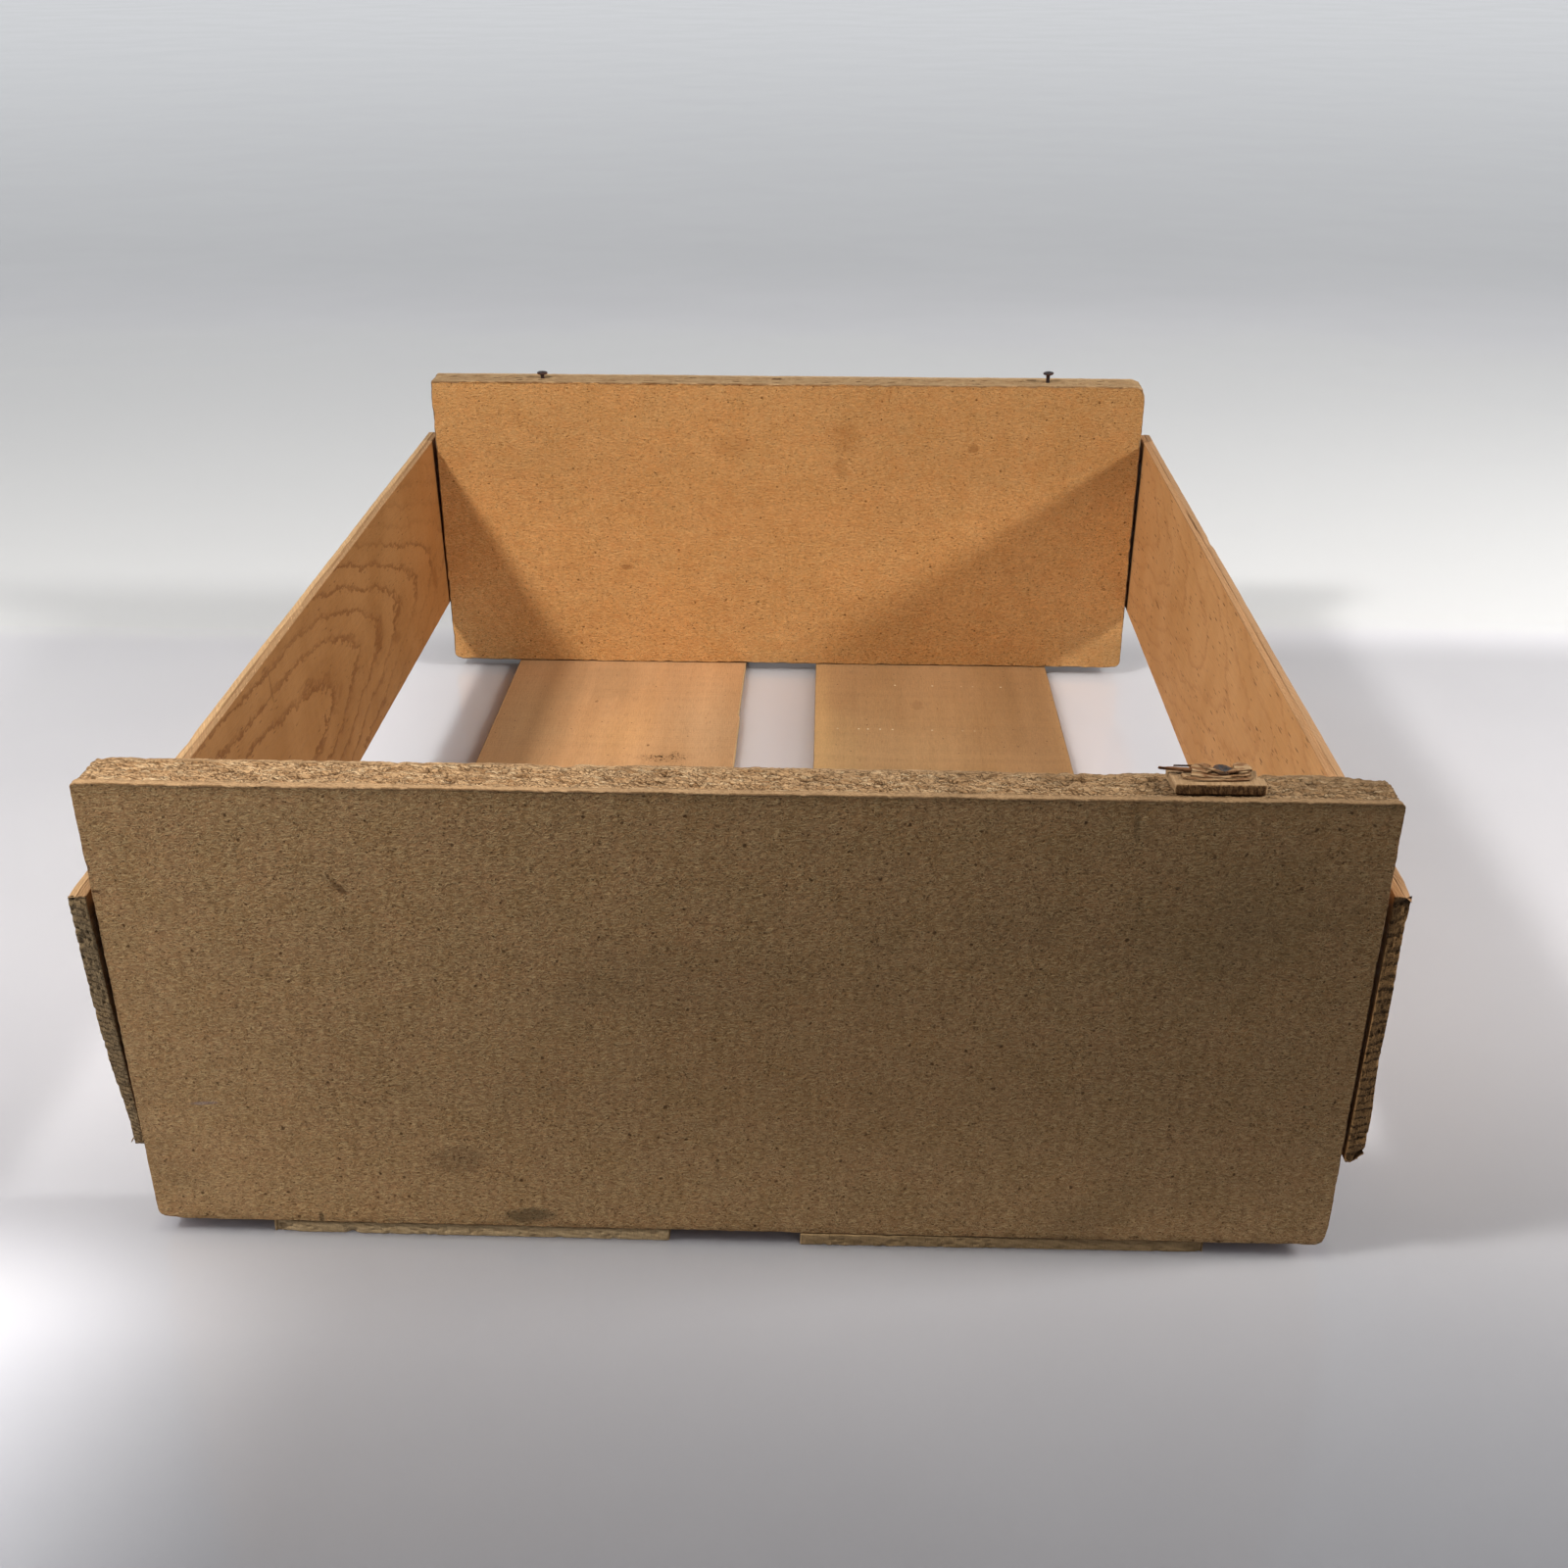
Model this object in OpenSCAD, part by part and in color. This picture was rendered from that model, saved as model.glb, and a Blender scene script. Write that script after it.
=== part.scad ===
// Shallow nailed fruit lug with the lid taken off.
//
// Two particleboard end panels carry everything. Two thin side boards are
// nailed to the ends of the panels, and two bottom slats are nailed to their
// lower edges. What is left of the lid is two nails standing in the back
// panel, and on the front panel a torn scrap of lid slat with a torn scrap of
// the lid's cleat on top, both under one nail.
//
// Millimetres. +Z is up, +Y runs from the front panel to the back panel, and
// the origin is on the floor at the centre of the crate.

/* [End panels] */
// Width of each end panel, 13 1/2 in
panel_w = 342.9; // [330:0.1:356]
// Height of each end panel
panel_h = 145; // [135:0.5:160]
// Thickness of each end panel, 5/8 in
panel_t = 15.875; // [13:0.125:19]
// Radius of the rounded lower corners
panel_low_r = 4; // [1:0.5:8]
// Radius of the worn upper corners
panel_top_r = 1.5; // [1:0.5:8]
// Length of the crate over both end panels, 17 1/2 in
crate_l = 444.5; // [400:0.5:480]

/* [Side boards] */
// Thickness of the side boards
side_t = 5; // [4:0.1:7]
// How far each end of a side board stands past the end panel
side_over = 0.75; // [0:0.25:3]
// Height of the left side board
left_side_h = 84.5; // [70:0.5:95]
// Height of the left side board's lower edge above the floor, at mid-length
left_side_z = 33; // [24:0.5:40]
// How much higher the left side board's back end is than its front end
left_side_rise = 4; // [-6:0.5:6]
// Height of the right side board
right_side_h = 86.5; // [70:0.5:95]
// Height of the right side board's lower edge above the floor
right_side_z = 35; // [24:0.5:40]
// Gap between the end panels and the top edge of either side board
side_gap_top = 1.5; // [1:0.1:3]
// Gap between the end panels and the lower edge of the left side board
left_gap_low = 0.1; // [0.1:0.1:1]
// Gap between the end panels and the lower edge of the right side board
right_gap_low = 0.8; // [0.1:0.1:1]

/* [Bottom slats] */
// Thickness of the bottom slats, 5/32 in
slat_t = 4; // [2.6:0.1:5]
// Width of each bottom slat
slat_w = 118; // [100:0.5:130]
// Gap between the two bottom slats, at mid-length
slat_gap = 36.5; // [20:0.5:60]
// Sideways offset of the gap from the middle of the crate
slat_shift = -1.25; // [-5:0.25:5]
// How much further left the right slat's back end lies than its front end
right_slat_skew = 3.2; // [-6:0.2:6]

/* [Nails] */
// Diameter of the nail shanks
nail_d = 1.9; // [1.5:0.1:2.4]
// Overall length of the nails, 1 1/4 in
nail_l = 31.75; // [25:0.25:36]
// Diameter of the nail heads
nail_head_d = 5; // [4:0.1:6.4]
// Thickness of the nail heads
nail_head_t = 1; // [0.6:0.1:1.4]
// Nails in each end of a board or slat
nails_per_end = 3; // [2:1:4]
// Distance from the outermost nails to the edge of a side board
side_nail_edge = 11; // [8:0.5:16]
// Distance from the outermost nails to the edge of a bottom slat
slat_nail_edge = 14; // [8:0.5:24]

/* [Lid remains] */
// Height of the left lid nail's head above the back panel
left_lid_nail_out = 2.8; // [2:0.1:8]
// Height of the right lid nail's head above the back panel
right_lid_nail_out = 4.6; // [2:0.1:8]
// Position across the crate of the left lid nail
left_lid_nail_x = -118; // [-134:0.5:-90]
// Position across the crate of the right lid nail
right_lid_nail_x = 125.5; // [90:0.5:134]
// Position across the crate of the torn scrap's left end
scrap_x = 113.5; // [90:0.5:120]
// Thickness of the lid slat's scrap
slat_scrap_t = 2.6; // [1.6:0.1:3.4]
// Thickness of the cleat's scrap on top of it
cleat_scrap_t = 1.2; // [0.6:0.1:2]

/* [Hidden] */
$fn = 48;

panel_z = slat_t;                        // the panels stand on the slats
panel_top = panel_z + panel_h;
nail_y = (crate_l - panel_t) / 2;        // middle of an end panel's thickness
side_l = crate_l + 2 * side_over;
nail_tip_l = 3;                          // length of the nail's point
nail_room = 0.02;                        // radial room round a nail in the wood
left_slat_x = slat_shift - slat_gap / 2 - slat_w;
right_slat_x = slat_shift + slat_gap / 2;
scrap_y = -crate_l / 2 + 2.9;            // front edge of the scrap
scrap_nail_at = [13.0, 6.6];             // nail, from the scrap's corner
scrap_top = panel_top + slat_scrap_t + cleat_scrap_t;

// Angle that opens a side board's gap from low to side_gap_top
function lean(h, low) = asin((side_gap_top - low) / h);
// Height of nail i above the lower edge of a board of height h
function nail_up(h, i) =
    side_nail_edge + (h - 2 * side_nail_edge) * i / (nails_per_end - 1);
// Position of nail i across a slat, from its left edge
function nail_across(i) =
    slat_nail_edge + (slat_w - 2 * slat_nail_edge) * i / (nails_per_end - 1);

// One nail, point down, with the top of its head at z = 0
module nail() {
    hr = nail_head_d / 2;
    sr = nail_d / 2;
    rotate_extrude()
        polygon([
            [0, 0], [hr - 0.3, 0], [hr, -0.3], [hr, -nail_head_t],
            [sr, -nail_head_t], [sr, nail_tip_l - nail_l],
            [0.2, -nail_l], [0, -nail_l]
        ]);
}

// The hole that a nail's shank leaves in the wood
module shank_hole() {
    translate([0, 0, -nail_l - 0.2])
        cylinder(r = nail_d / 2 + nail_room, h = nail_l + 0.2);
}

// The hole of a nail that is driven flush: the head is set into the wood
module flush_hole() {
    shank_hole();
    translate([0, 0, -nail_head_t])
        cylinder(r = nail_head_d / 2 + nail_room, h = nail_head_t + 1);
}

// Puts its children at the inner lower edge of a side board that leans out
// and rises to the back. s is -1 on the left and 1 on the right.
module at_side(s, z0, h, low, rise) {
    translate([s * (panel_w / 2 + low), 0, z0])
        rotate([0, s * lean(h, low), 0])
            translate([0, 0, h / 2])
                rotate([asin(rise / side_l), 0, 0])
                    translate([0, 0, -h / 2])
                        children();
}

// Puts its children at each nail of one end of a side board, head outwards.
// e is -1 at the front and 1 at the back.
module at_side_nails(s, e, z0, h, low, rise) {
    at_side(s, z0, h, low, rise)
        for (i = [0 : nails_per_end - 1])
            translate([s * side_t, e * nail_y, nail_up(h, i)])
                rotate([0, s * 90, 0])
                    children();
}

// Puts its children at the left edge of a slat that is turned a little on
// the floor
module at_slat(x0, skew) {
    translate([x0 + slat_w / 2, 0, 0])
        rotate([0, 0, asin(skew / crate_l)])
            translate([-slat_w / 2, 0, 0])
                children();
}

// Puts its children at each nail of one end of a slat, head downwards
module at_slat_nails(x0, skew, e) {
    at_slat(x0, skew)
        for (i = [0 : nails_per_end - 1])
            translate([nail_across(i), e * nail_y, 0])
                rotate([180, 0, 0])
                    children();
}

module left_side_nail_places(e)
    at_side_nails(-1, e, left_side_z, left_side_h, left_gap_low, left_side_rise) children();
module right_side_nail_places(e)
    at_side_nails(1, e, right_side_z, right_side_h, right_gap_low, 0) children();
module left_slat_nail_places(e)
    at_slat_nails(left_slat_x, 0, e) children();
module right_slat_nail_places(e)
    at_slat_nails(right_slat_x, right_slat_skew, e) children();

// Outline of an end panel, seen from the front
module panel_outline() {
    a = panel_low_r;
    b = panel_top_r;
    w = panel_w / 2;
    difference() {
        translate([-w, 0]) square([panel_w, panel_h]);
        translate([-w, 0]) square(a);
        translate([w - a, 0]) square(a);
        translate([-w, panel_h - b]) square(b);
        translate([w - b, panel_h - b]) square(b);
    }
    translate([a - w, a]) circle(a);
    translate([w - a, a]) circle(a);
    translate([b - w, panel_h - b]) circle(b);
    translate([w - b, panel_h - b]) circle(b);
}

// An end panel with the holes of the nails that hold the boards to it
module end_panel(e) {
    difference() {
        translate([0, e * nail_y + panel_t / 2, panel_z])
            rotate([90, 0, 0])
                linear_extrude(panel_t) panel_outline();
        left_side_nail_places(e) shank_hole();
        right_side_nail_places(e) shank_hole();
        left_slat_nail_places(e) shank_hole();
        right_slat_nail_places(e) shank_hole();
    }
}

module front_end_panel() {
    color([0.61, 0.48, 0.31])
        difference() {
            end_panel(-1);
            lid_scrap_nail_place() shank_hole();
        }
}

module back_end_panel() {
    color([0.80, 0.58, 0.35])
        difference() {
            end_panel(1);
            left_lid_nail_place() shank_hole();
            right_lid_nail_place() shank_hole();
        }
}

// A plain sawn side board, standing on its inner lower edge
module side_board(s, h) {
    translate([s > 0 ? 0 : -side_t, -side_l / 2, 0])
        cube([side_t, side_l, h]);
}

module left_side_board() {
    color([0.72, 0.50, 0.30])
        difference() {
            at_side(-1, left_side_z, left_side_h, left_gap_low, left_side_rise)
                side_board(-1, left_side_h);
            for (e = [-1, 1]) left_side_nail_places(e) flush_hole();
        }
}

module right_side_board() {
    color([0.76, 0.53, 0.33])
        difference() {
            at_side(1, right_side_z, right_side_h, right_gap_low, 0)
                side_board(1, right_side_h);
            for (e = [-1, 1]) right_side_nail_places(e) flush_hole();
        }
}

// A bottom slat, lying on the floor under both end panels
module bottom_slat() {
    translate([0, -crate_l / 2, 0]) cube([slat_w, crate_l, slat_t]);
}

module left_bottom_slat() {
    color([0.78, 0.60, 0.40])
        difference() {
            at_slat(left_slat_x, 0) bottom_slat();
            for (e = [-1, 1]) left_slat_nail_places(e) flush_hole();
        }
}

module right_bottom_slat() {
    color([0.80, 0.62, 0.41])
        difference() {
            at_slat(right_slat_x, right_slat_skew) bottom_slat();
            for (e = [-1, 1]) right_slat_nail_places(e) flush_hole();
        }
}

// The nails of each joint, as separate solids
module left_front_side_nails() color([0.33, 0.29, 0.26]) left_side_nail_places(-1) nail();
module left_back_side_nails() color([0.33, 0.29, 0.26]) left_side_nail_places(1) nail();
module right_front_side_nails() color([0.33, 0.29, 0.26]) right_side_nail_places(-1) nail();
module right_back_side_nails() color([0.33, 0.29, 0.26]) right_side_nail_places(1) nail();
module left_slat_front_nails() color([0.33, 0.29, 0.26]) left_slat_nail_places(-1) nail();
module left_slat_back_nails() color([0.33, 0.29, 0.26]) left_slat_nail_places(1) nail();
module right_slat_front_nails() color([0.33, 0.29, 0.26]) right_slat_nail_places(-1) nail();
module right_slat_back_nails() color([0.33, 0.29, 0.26]) right_slat_nail_places(1) nail();

// The lid nails stand proud where the lid slats were pulled off
module left_lid_nail_place()
    translate([left_lid_nail_x, nail_y, panel_top + left_lid_nail_out]) children();
module right_lid_nail_place()
    translate([right_lid_nail_x, nail_y, panel_top + right_lid_nail_out]) children();
module lid_scrap_nail_place()
    translate([scrap_x + scrap_nail_at[0], scrap_y + scrap_nail_at[1], scrap_top + nail_head_t])
        children();

module left_lid_nail() color([0.36, 0.31, 0.28]) left_lid_nail_place() nail();
module right_lid_nail() color([0.36, 0.31, 0.28]) right_lid_nail_place() nail();
module lid_scrap_nail() color([0.45, 0.43, 0.42]) lid_scrap_nail_place() nail();

// The end of a lid slat that tore off and stayed under its nail. Its grain
// runs front to back.
module lid_slat_scrap() {
    color([0.74, 0.53, 0.34])
        difference() {
            translate([scrap_x, scrap_y, panel_top])
                linear_extrude(slat_scrap_t)
                    polygon([
                        [0, 0.3], [3.2, 0], [23.2, 0.3], [23.9, 1],
                        [23.6, 4.6], [22.2, 5.8], [22.5, 9.6], [17.2, 10.7],
                        [9.4, 10.3], [-0.6, 10.8], [-1.1, 9.6], [-0.4, 5.2]
                    ]);
            lid_scrap_nail_place() shank_hole();
        }
}

// What stayed of the cleat that was nailed across the lid slats. Its grain
// runs from side to side, and it ends in a long splinter.
module lid_cleat_scrap() {
    color([0.66, 0.42, 0.26])
        difference() {
            translate([scrap_x, scrap_y, panel_top + slat_scrap_t])
                linear_extrude(cleat_scrap_t)
                    polygon([
                        [2.2, 3.4], [8.2, 1.9], [16.2, 2], [20.6, 4.2],
                        [20.9, 7], [18.6, 9.8], [10.2, 9.7], [4.6, 9],
                        [-3.9, 7.5], [3, 5.8]
                    ]);
            lid_scrap_nail_place() shank_hole();
        }
}

front_end_panel();
back_end_panel();
left_side_board();
right_side_board();
left_bottom_slat();
right_bottom_slat();
left_front_side_nails();
left_back_side_nails();
right_front_side_nails();
right_back_side_nails();
left_slat_front_nails();
left_slat_back_nails();
right_slat_front_nails();
right_slat_back_nails();
left_lid_nail();
right_lid_nail();
lid_slat_scrap();
lid_cleat_scrap();
lid_scrap_nail();
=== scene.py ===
import math

import bpy
import numpy as np
from mathutils import Matrix, Vector
from mathutils.geometry import delaunay_2d_cdt


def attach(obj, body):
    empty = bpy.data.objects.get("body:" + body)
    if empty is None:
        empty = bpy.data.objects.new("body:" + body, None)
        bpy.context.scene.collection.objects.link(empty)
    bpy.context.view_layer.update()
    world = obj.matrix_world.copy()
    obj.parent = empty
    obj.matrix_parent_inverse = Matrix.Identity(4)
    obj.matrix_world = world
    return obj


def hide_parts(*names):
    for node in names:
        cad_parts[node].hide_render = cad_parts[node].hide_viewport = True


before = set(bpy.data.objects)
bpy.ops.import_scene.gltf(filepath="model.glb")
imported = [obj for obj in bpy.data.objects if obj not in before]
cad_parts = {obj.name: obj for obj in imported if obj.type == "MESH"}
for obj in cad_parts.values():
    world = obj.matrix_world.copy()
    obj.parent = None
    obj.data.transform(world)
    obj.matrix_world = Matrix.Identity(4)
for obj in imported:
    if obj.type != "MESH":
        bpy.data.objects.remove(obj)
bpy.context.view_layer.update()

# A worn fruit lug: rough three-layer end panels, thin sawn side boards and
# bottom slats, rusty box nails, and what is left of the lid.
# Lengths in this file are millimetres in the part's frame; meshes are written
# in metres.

# --------------------------------------------------------------------------
# sizes, as in the construction
# --------------------------------------------------------------------------
PANEL_W, PANEL_H, PANEL_T = 342.9, 145.0, 15.875
HALF_W = PANEL_W / 2
CRATE_L = 444.5
HALF_L = CRATE_L / 2
SLAT_T, SLAT_W = 4.0, 118.0
LEFT_SLAT_X, RIGHT_SLAT_X = -137.5, 17.0
RIGHT_SKEW = 3.2
PANEL_Z = SLAT_T
PANEL_TOP = PANEL_Z + PANEL_H
NAIL_Y = (CRATE_L - PANEL_T) / 2
SIDE_T, SIDE_HALF = 5.0, 223.0
SIDE_GAP_TOP = 1.5
LEFT_H, LEFT_Z, LEFT_LOW, LEFT_RISE = 84.5, 33.0, 0.1, 4.0
RIGHT_H, RIGHT_Z, RIGHT_LOW = 86.5, 35.0, 0.8
NAIL_R, NAIL_L, HEAD_R, HEAD_T = 0.95, 31.75, 2.5, 1.0
LID_NAIL_X = (-118.0, 125.5)
LID_NAIL_Z = (PANEL_TOP + 2.8, PANEL_TOP + 4.6)
SCRAP_X, SCRAP_Y = 113.5, -HALF_L + 2.9
SCRAP_NAIL = (SCRAP_X + 13.0, SCRAP_Y + 6.6)
SCRAP_BASE_T = 2.6
BORE_R = 0.98


def lean(h, low):
    return math.asin((SIDE_GAP_TOP - low) / h)


def side_frame(side):
    """From a side board's own frame, inner lower edge, to the crate's."""
    h, z0, low, rise = (LEFT_H, LEFT_Z, LEFT_LOW, LEFT_RISE) if side < 0 else (RIGHT_H, RIGHT_Z, RIGHT_LOW, 0.0)
    return (
        Matrix.Translation((side * (HALF_W + low), 0, z0))
        @ Matrix.Rotation(side * lean(h, low), 4, "Y")
        @ Matrix.Translation((0, 0, h / 2))
        @ Matrix.Rotation(math.asin(rise / (2 * SIDE_HALF)), 4, "X")
        @ Matrix.Translation((0, 0, -h / 2))
    )


def slat_frame(left):
    """The right slat lies a little askew."""
    mid = (LEFT_SLAT_X if left else RIGHT_SLAT_X) + SLAT_W / 2
    turn = 0.0 if left else math.asin(RIGHT_SKEW / CRATE_L)
    return Matrix.Translation((mid, 0, 0)) @ Matrix.Rotation(turn, 4, "Z") @ Matrix.Translation((-mid, 0, 0))


# --------------------------------------------------------------------------
# repeatable noise
# --------------------------------------------------------------------------
def hash01(ix, iy, seed):
    with np.errstate(over="ignore"):
        n = (ix.astype(np.int64).astype(np.uint64) * np.uint64(0x9E3779B97F4A7C15)) ^ (
            iy.astype(np.int64).astype(np.uint64) * np.uint64(0xC2B2AE3D27D4EB4F)
        ) ^ np.uint64((seed * 0x165667B19E3779F9) & 0xFFFFFFFFFFFFFFFF)
        for mul in (0xBF58476D1CE4E5B9, 0x94D049BB133111EB):
            n ^= n >> np.uint64(30)
            n *= np.uint64(mul)
        n ^= n >> np.uint64(31)
    return (n >> np.uint64(40)).astype(float) / float(1 << 24)


def noise(x, y, seed):
    """Smooth value noise, -1 to 1."""
    x, y = np.broadcast_arrays(np.asarray(x, float), np.asarray(y, float))
    ix, iy = np.floor(x), np.floor(y)
    fx, fy = x - ix, y - iy
    fx, fy = fx * fx * (3 - 2 * fx), fy * fy * (3 - 2 * fy)
    a, b = hash01(ix, iy, seed), hash01(ix + 1, iy, seed)
    c, d = hash01(ix, iy + 1, seed), hash01(ix + 1, iy + 1, seed)
    return 2 * ((a * (1 - fx) + b * fx) * (1 - fy) + (c * (1 - fx) + d * fx) * fy) - 1


def fbm(x, y, seed, octaves=3, gain=0.55):
    x, y = np.asarray(x, float), np.asarray(y, float)
    total, weight, amp = 0.0, 0.0, 1.0
    for k in range(octaves):
        total = total + amp * noise(x * 2.03**k + 17.3 * k, y * 2.03**k - 9.1 * k, seed + 101 * k)
        weight += amp
        amp *= gain
    return total / weight


def cells(x, y, seed):
    """Distances to the nearest and next cell centre, and a number for the cell."""
    x, y = np.broadcast_arrays(np.asarray(x, float), np.asarray(y, float))
    ix, iy = np.floor(x), np.floor(y)
    f1, f2, r = np.full(x.shape, 9.0), np.full(x.shape, 9.0), np.zeros(x.shape)
    for i in (-1, 0, 1):
        for j in (-1, 0, 1):
            cx, cy = ix + i, iy + j
            dx = cx + hash01(cx, cy, seed) - x
            dy = cy + hash01(cx, cy, seed + 7) - y
            d = np.hypot(dx, dy)
            closer = d < f1
            f2 = np.where(closer, f1, np.minimum(f2, d))
            r = np.where(closer, hash01(cx, cy, seed + 13), r)
            f1 = np.minimum(f1, d)
    return f1, f2, r


def ramp(a, b, x):
    """Smooth step from 0 at a to 1 at b."""
    t = np.clip((np.asarray(x, float) - a) / (b - a), 0, 1)
    return t * t * (3 - 2 * t)


# --------------------------------------------------------------------------
# meshes
# --------------------------------------------------------------------------
def make_object(name, verts, faces, slots, mats, attrs=None, smooth=True):
    """A mesh object from millimetre points, turned right side out."""
    verts = np.asarray(verts, float) * 0.001
    vol = 0.0
    tri = np.array([(f[0], f[k], f[k + 1]) for f in faces for k in range(1, len(f) - 1)])
    a, b, c = verts[tri[:, 0]], verts[tri[:, 1]], verts[tri[:, 2]]
    vol = np.einsum("ij,ij->i", a, np.cross(b, c)).sum()
    if vol < 0:
        faces = [tuple(reversed(f)) for f in faces]
    me = bpy.data.meshes.new(name)
    me.from_pydata(verts.tolist(), [], faces)
    for m in mats:
        me.materials.append(m)
    me.polygons.foreach_set("material_index", np.asarray(slots, np.int32))
    me.polygons.foreach_set("use_smooth", np.full(len(faces), smooth))
    for key, values in (attrs or {}).items():
        at = me.attributes.new(key, "FLOAT", "POINT")
        at.data.foreach_set("value", np.asarray(values, np.float32))
    me.update()
    me.validate()
    ob = bpy.data.objects.new(name, me)
    bpy.context.scene.collection.objects.link(ob)
    return ob


def rect_outline(x0, x1, z0, z1, radii, steps):
    """A rounded rectangle, anticlockwise from the middle of its lower side.
    radii: lower left, lower right, upper right, upper left.
    steps: lower, right, upper, left, corners. Gives points, outward normals,
    lengths along it, and 0 lower, 1 right, 2 upper, 3 left for each point."""
    pts, nor, tag = [], [], []

    def line(p, q, step, n, t):
        p, q = np.array(p, float), np.array(q, float)
        k = max(1, round(np.hypot(*(q - p)) / step))
        for i in range(k):
            pts.append(p + (q - p) * i / k)
            nor.append(n)
            tag.append(t)

    def arc(c, r, a0, t0, t1):
        k = max(3, round(r * math.pi / 2 / steps[4]))
        for i in range(k):
            a = math.radians(a0 + 90 * i / k)
            n = np.array([math.cos(a), math.sin(a)])
            pts.append(np.array(c) + r * n)
            nor.append(n)
            tag.append(t0 if i < k / 2 else t1)

    bl, br, tr, tl = radii
    xm = (x0 + x1) / 2
    line((xm, z0), (x1 - br, z0), steps[0], (0, -1), 0)
    arc((x1 - br, z0 + br), br, -90, 0, 1)
    line((x1, z0 + br), (x1, z1 - tr), steps[1], (1, 0), 1)
    arc((x1 - tr, z1 - tr), tr, 0, 1, 2)
    line((x1 - tr, z1), (x0 + tl, z1), steps[2], (0, 1), 2)
    arc((x0 + tl, z1 - tl), tl, 90, 2, 3)
    line((x0, z1 - tl), (x0, z0 + bl), steps[3], (-1, 0), 3)
    arc((x0 + bl, z0 + bl), bl, 180, 3, 0)
    line((x0 + bl, z0), (xm, z0), steps[0], (0, -1), 0)
    pts, nor = np.array(pts, float), np.array(nor, float)
    s = np.r_[0, np.cumsum(np.hypot(*np.diff(pts, axis=0).T))]
    return pts, nor, s, np.array(tag)


def inside_polygon(px, py, poly):
    inside = np.zeros(len(px), bool)
    for (x0, y0), (x1, y1) in zip(poly, np.roll(poly, -1, axis=0)):
        cross = (y0 > py) != (y1 > py)
        with np.errstate(divide="ignore", invalid="ignore"):
            at = (x1 - x0) * (py - y0) / (y1 - y0) + x0
        inside ^= cross & (px < at)
    return inside


def fill(loops, extra, convex):
    """Triangles between an outer loop and hole loops, through extra points.
    Indices run through the loops in turn, and then the extra points."""
    co, edges, start = [], [], []
    for loop in loops:
        base = len(co)
        start.append(base)
        co += [Vector(p) for p in loop]
        edges += [(base + i, base + (i + 1) % len(loop)) for i in range(len(loop))]
    co += [Vector(p) for p in extra]
    hole_of = np.full(len(co), -1)
    for k in range(1, len(loops)):
        hole_of[start[k] : start[k] + len(loops[k])] = k
    v, _e, tris, ov, _oe, _of = delaunay_2d_cdt(co, edges, [], 0, 1e-7)
    if len(v) != len(co):
        raise ValueError("the fill's outline crosses itself")
    back = [o[0] for o in ov]
    out = []
    xy = np.array([(p[0], p[1]) for p in co])
    for t in tris:
        t = [back[i] for i in t]
        h = hole_of[t]
        if h[0] >= 0 and h[0] == h[1] == h[2]:
            continue
        out.append(tuple(t))
    if not convex:
        mid = np.array([xy[list(t)].mean(0) for t in out])
        keep = inside_polygon(mid[:, 0], mid[:, 1], np.array(loops[0]))
        out = [t for t, k in zip(out, keep) if k]
    fixed = []
    for t in out:
        (ax, ay), (bx, by), (cx, cy) = xy[list(t)]
        turn = (bx - ax) * (cy - ay) - (by - ay) * (cx - ax)
        fixed.append(t if turn > 0 else (t[0], t[2], t[1]))
    return fixed


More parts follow.
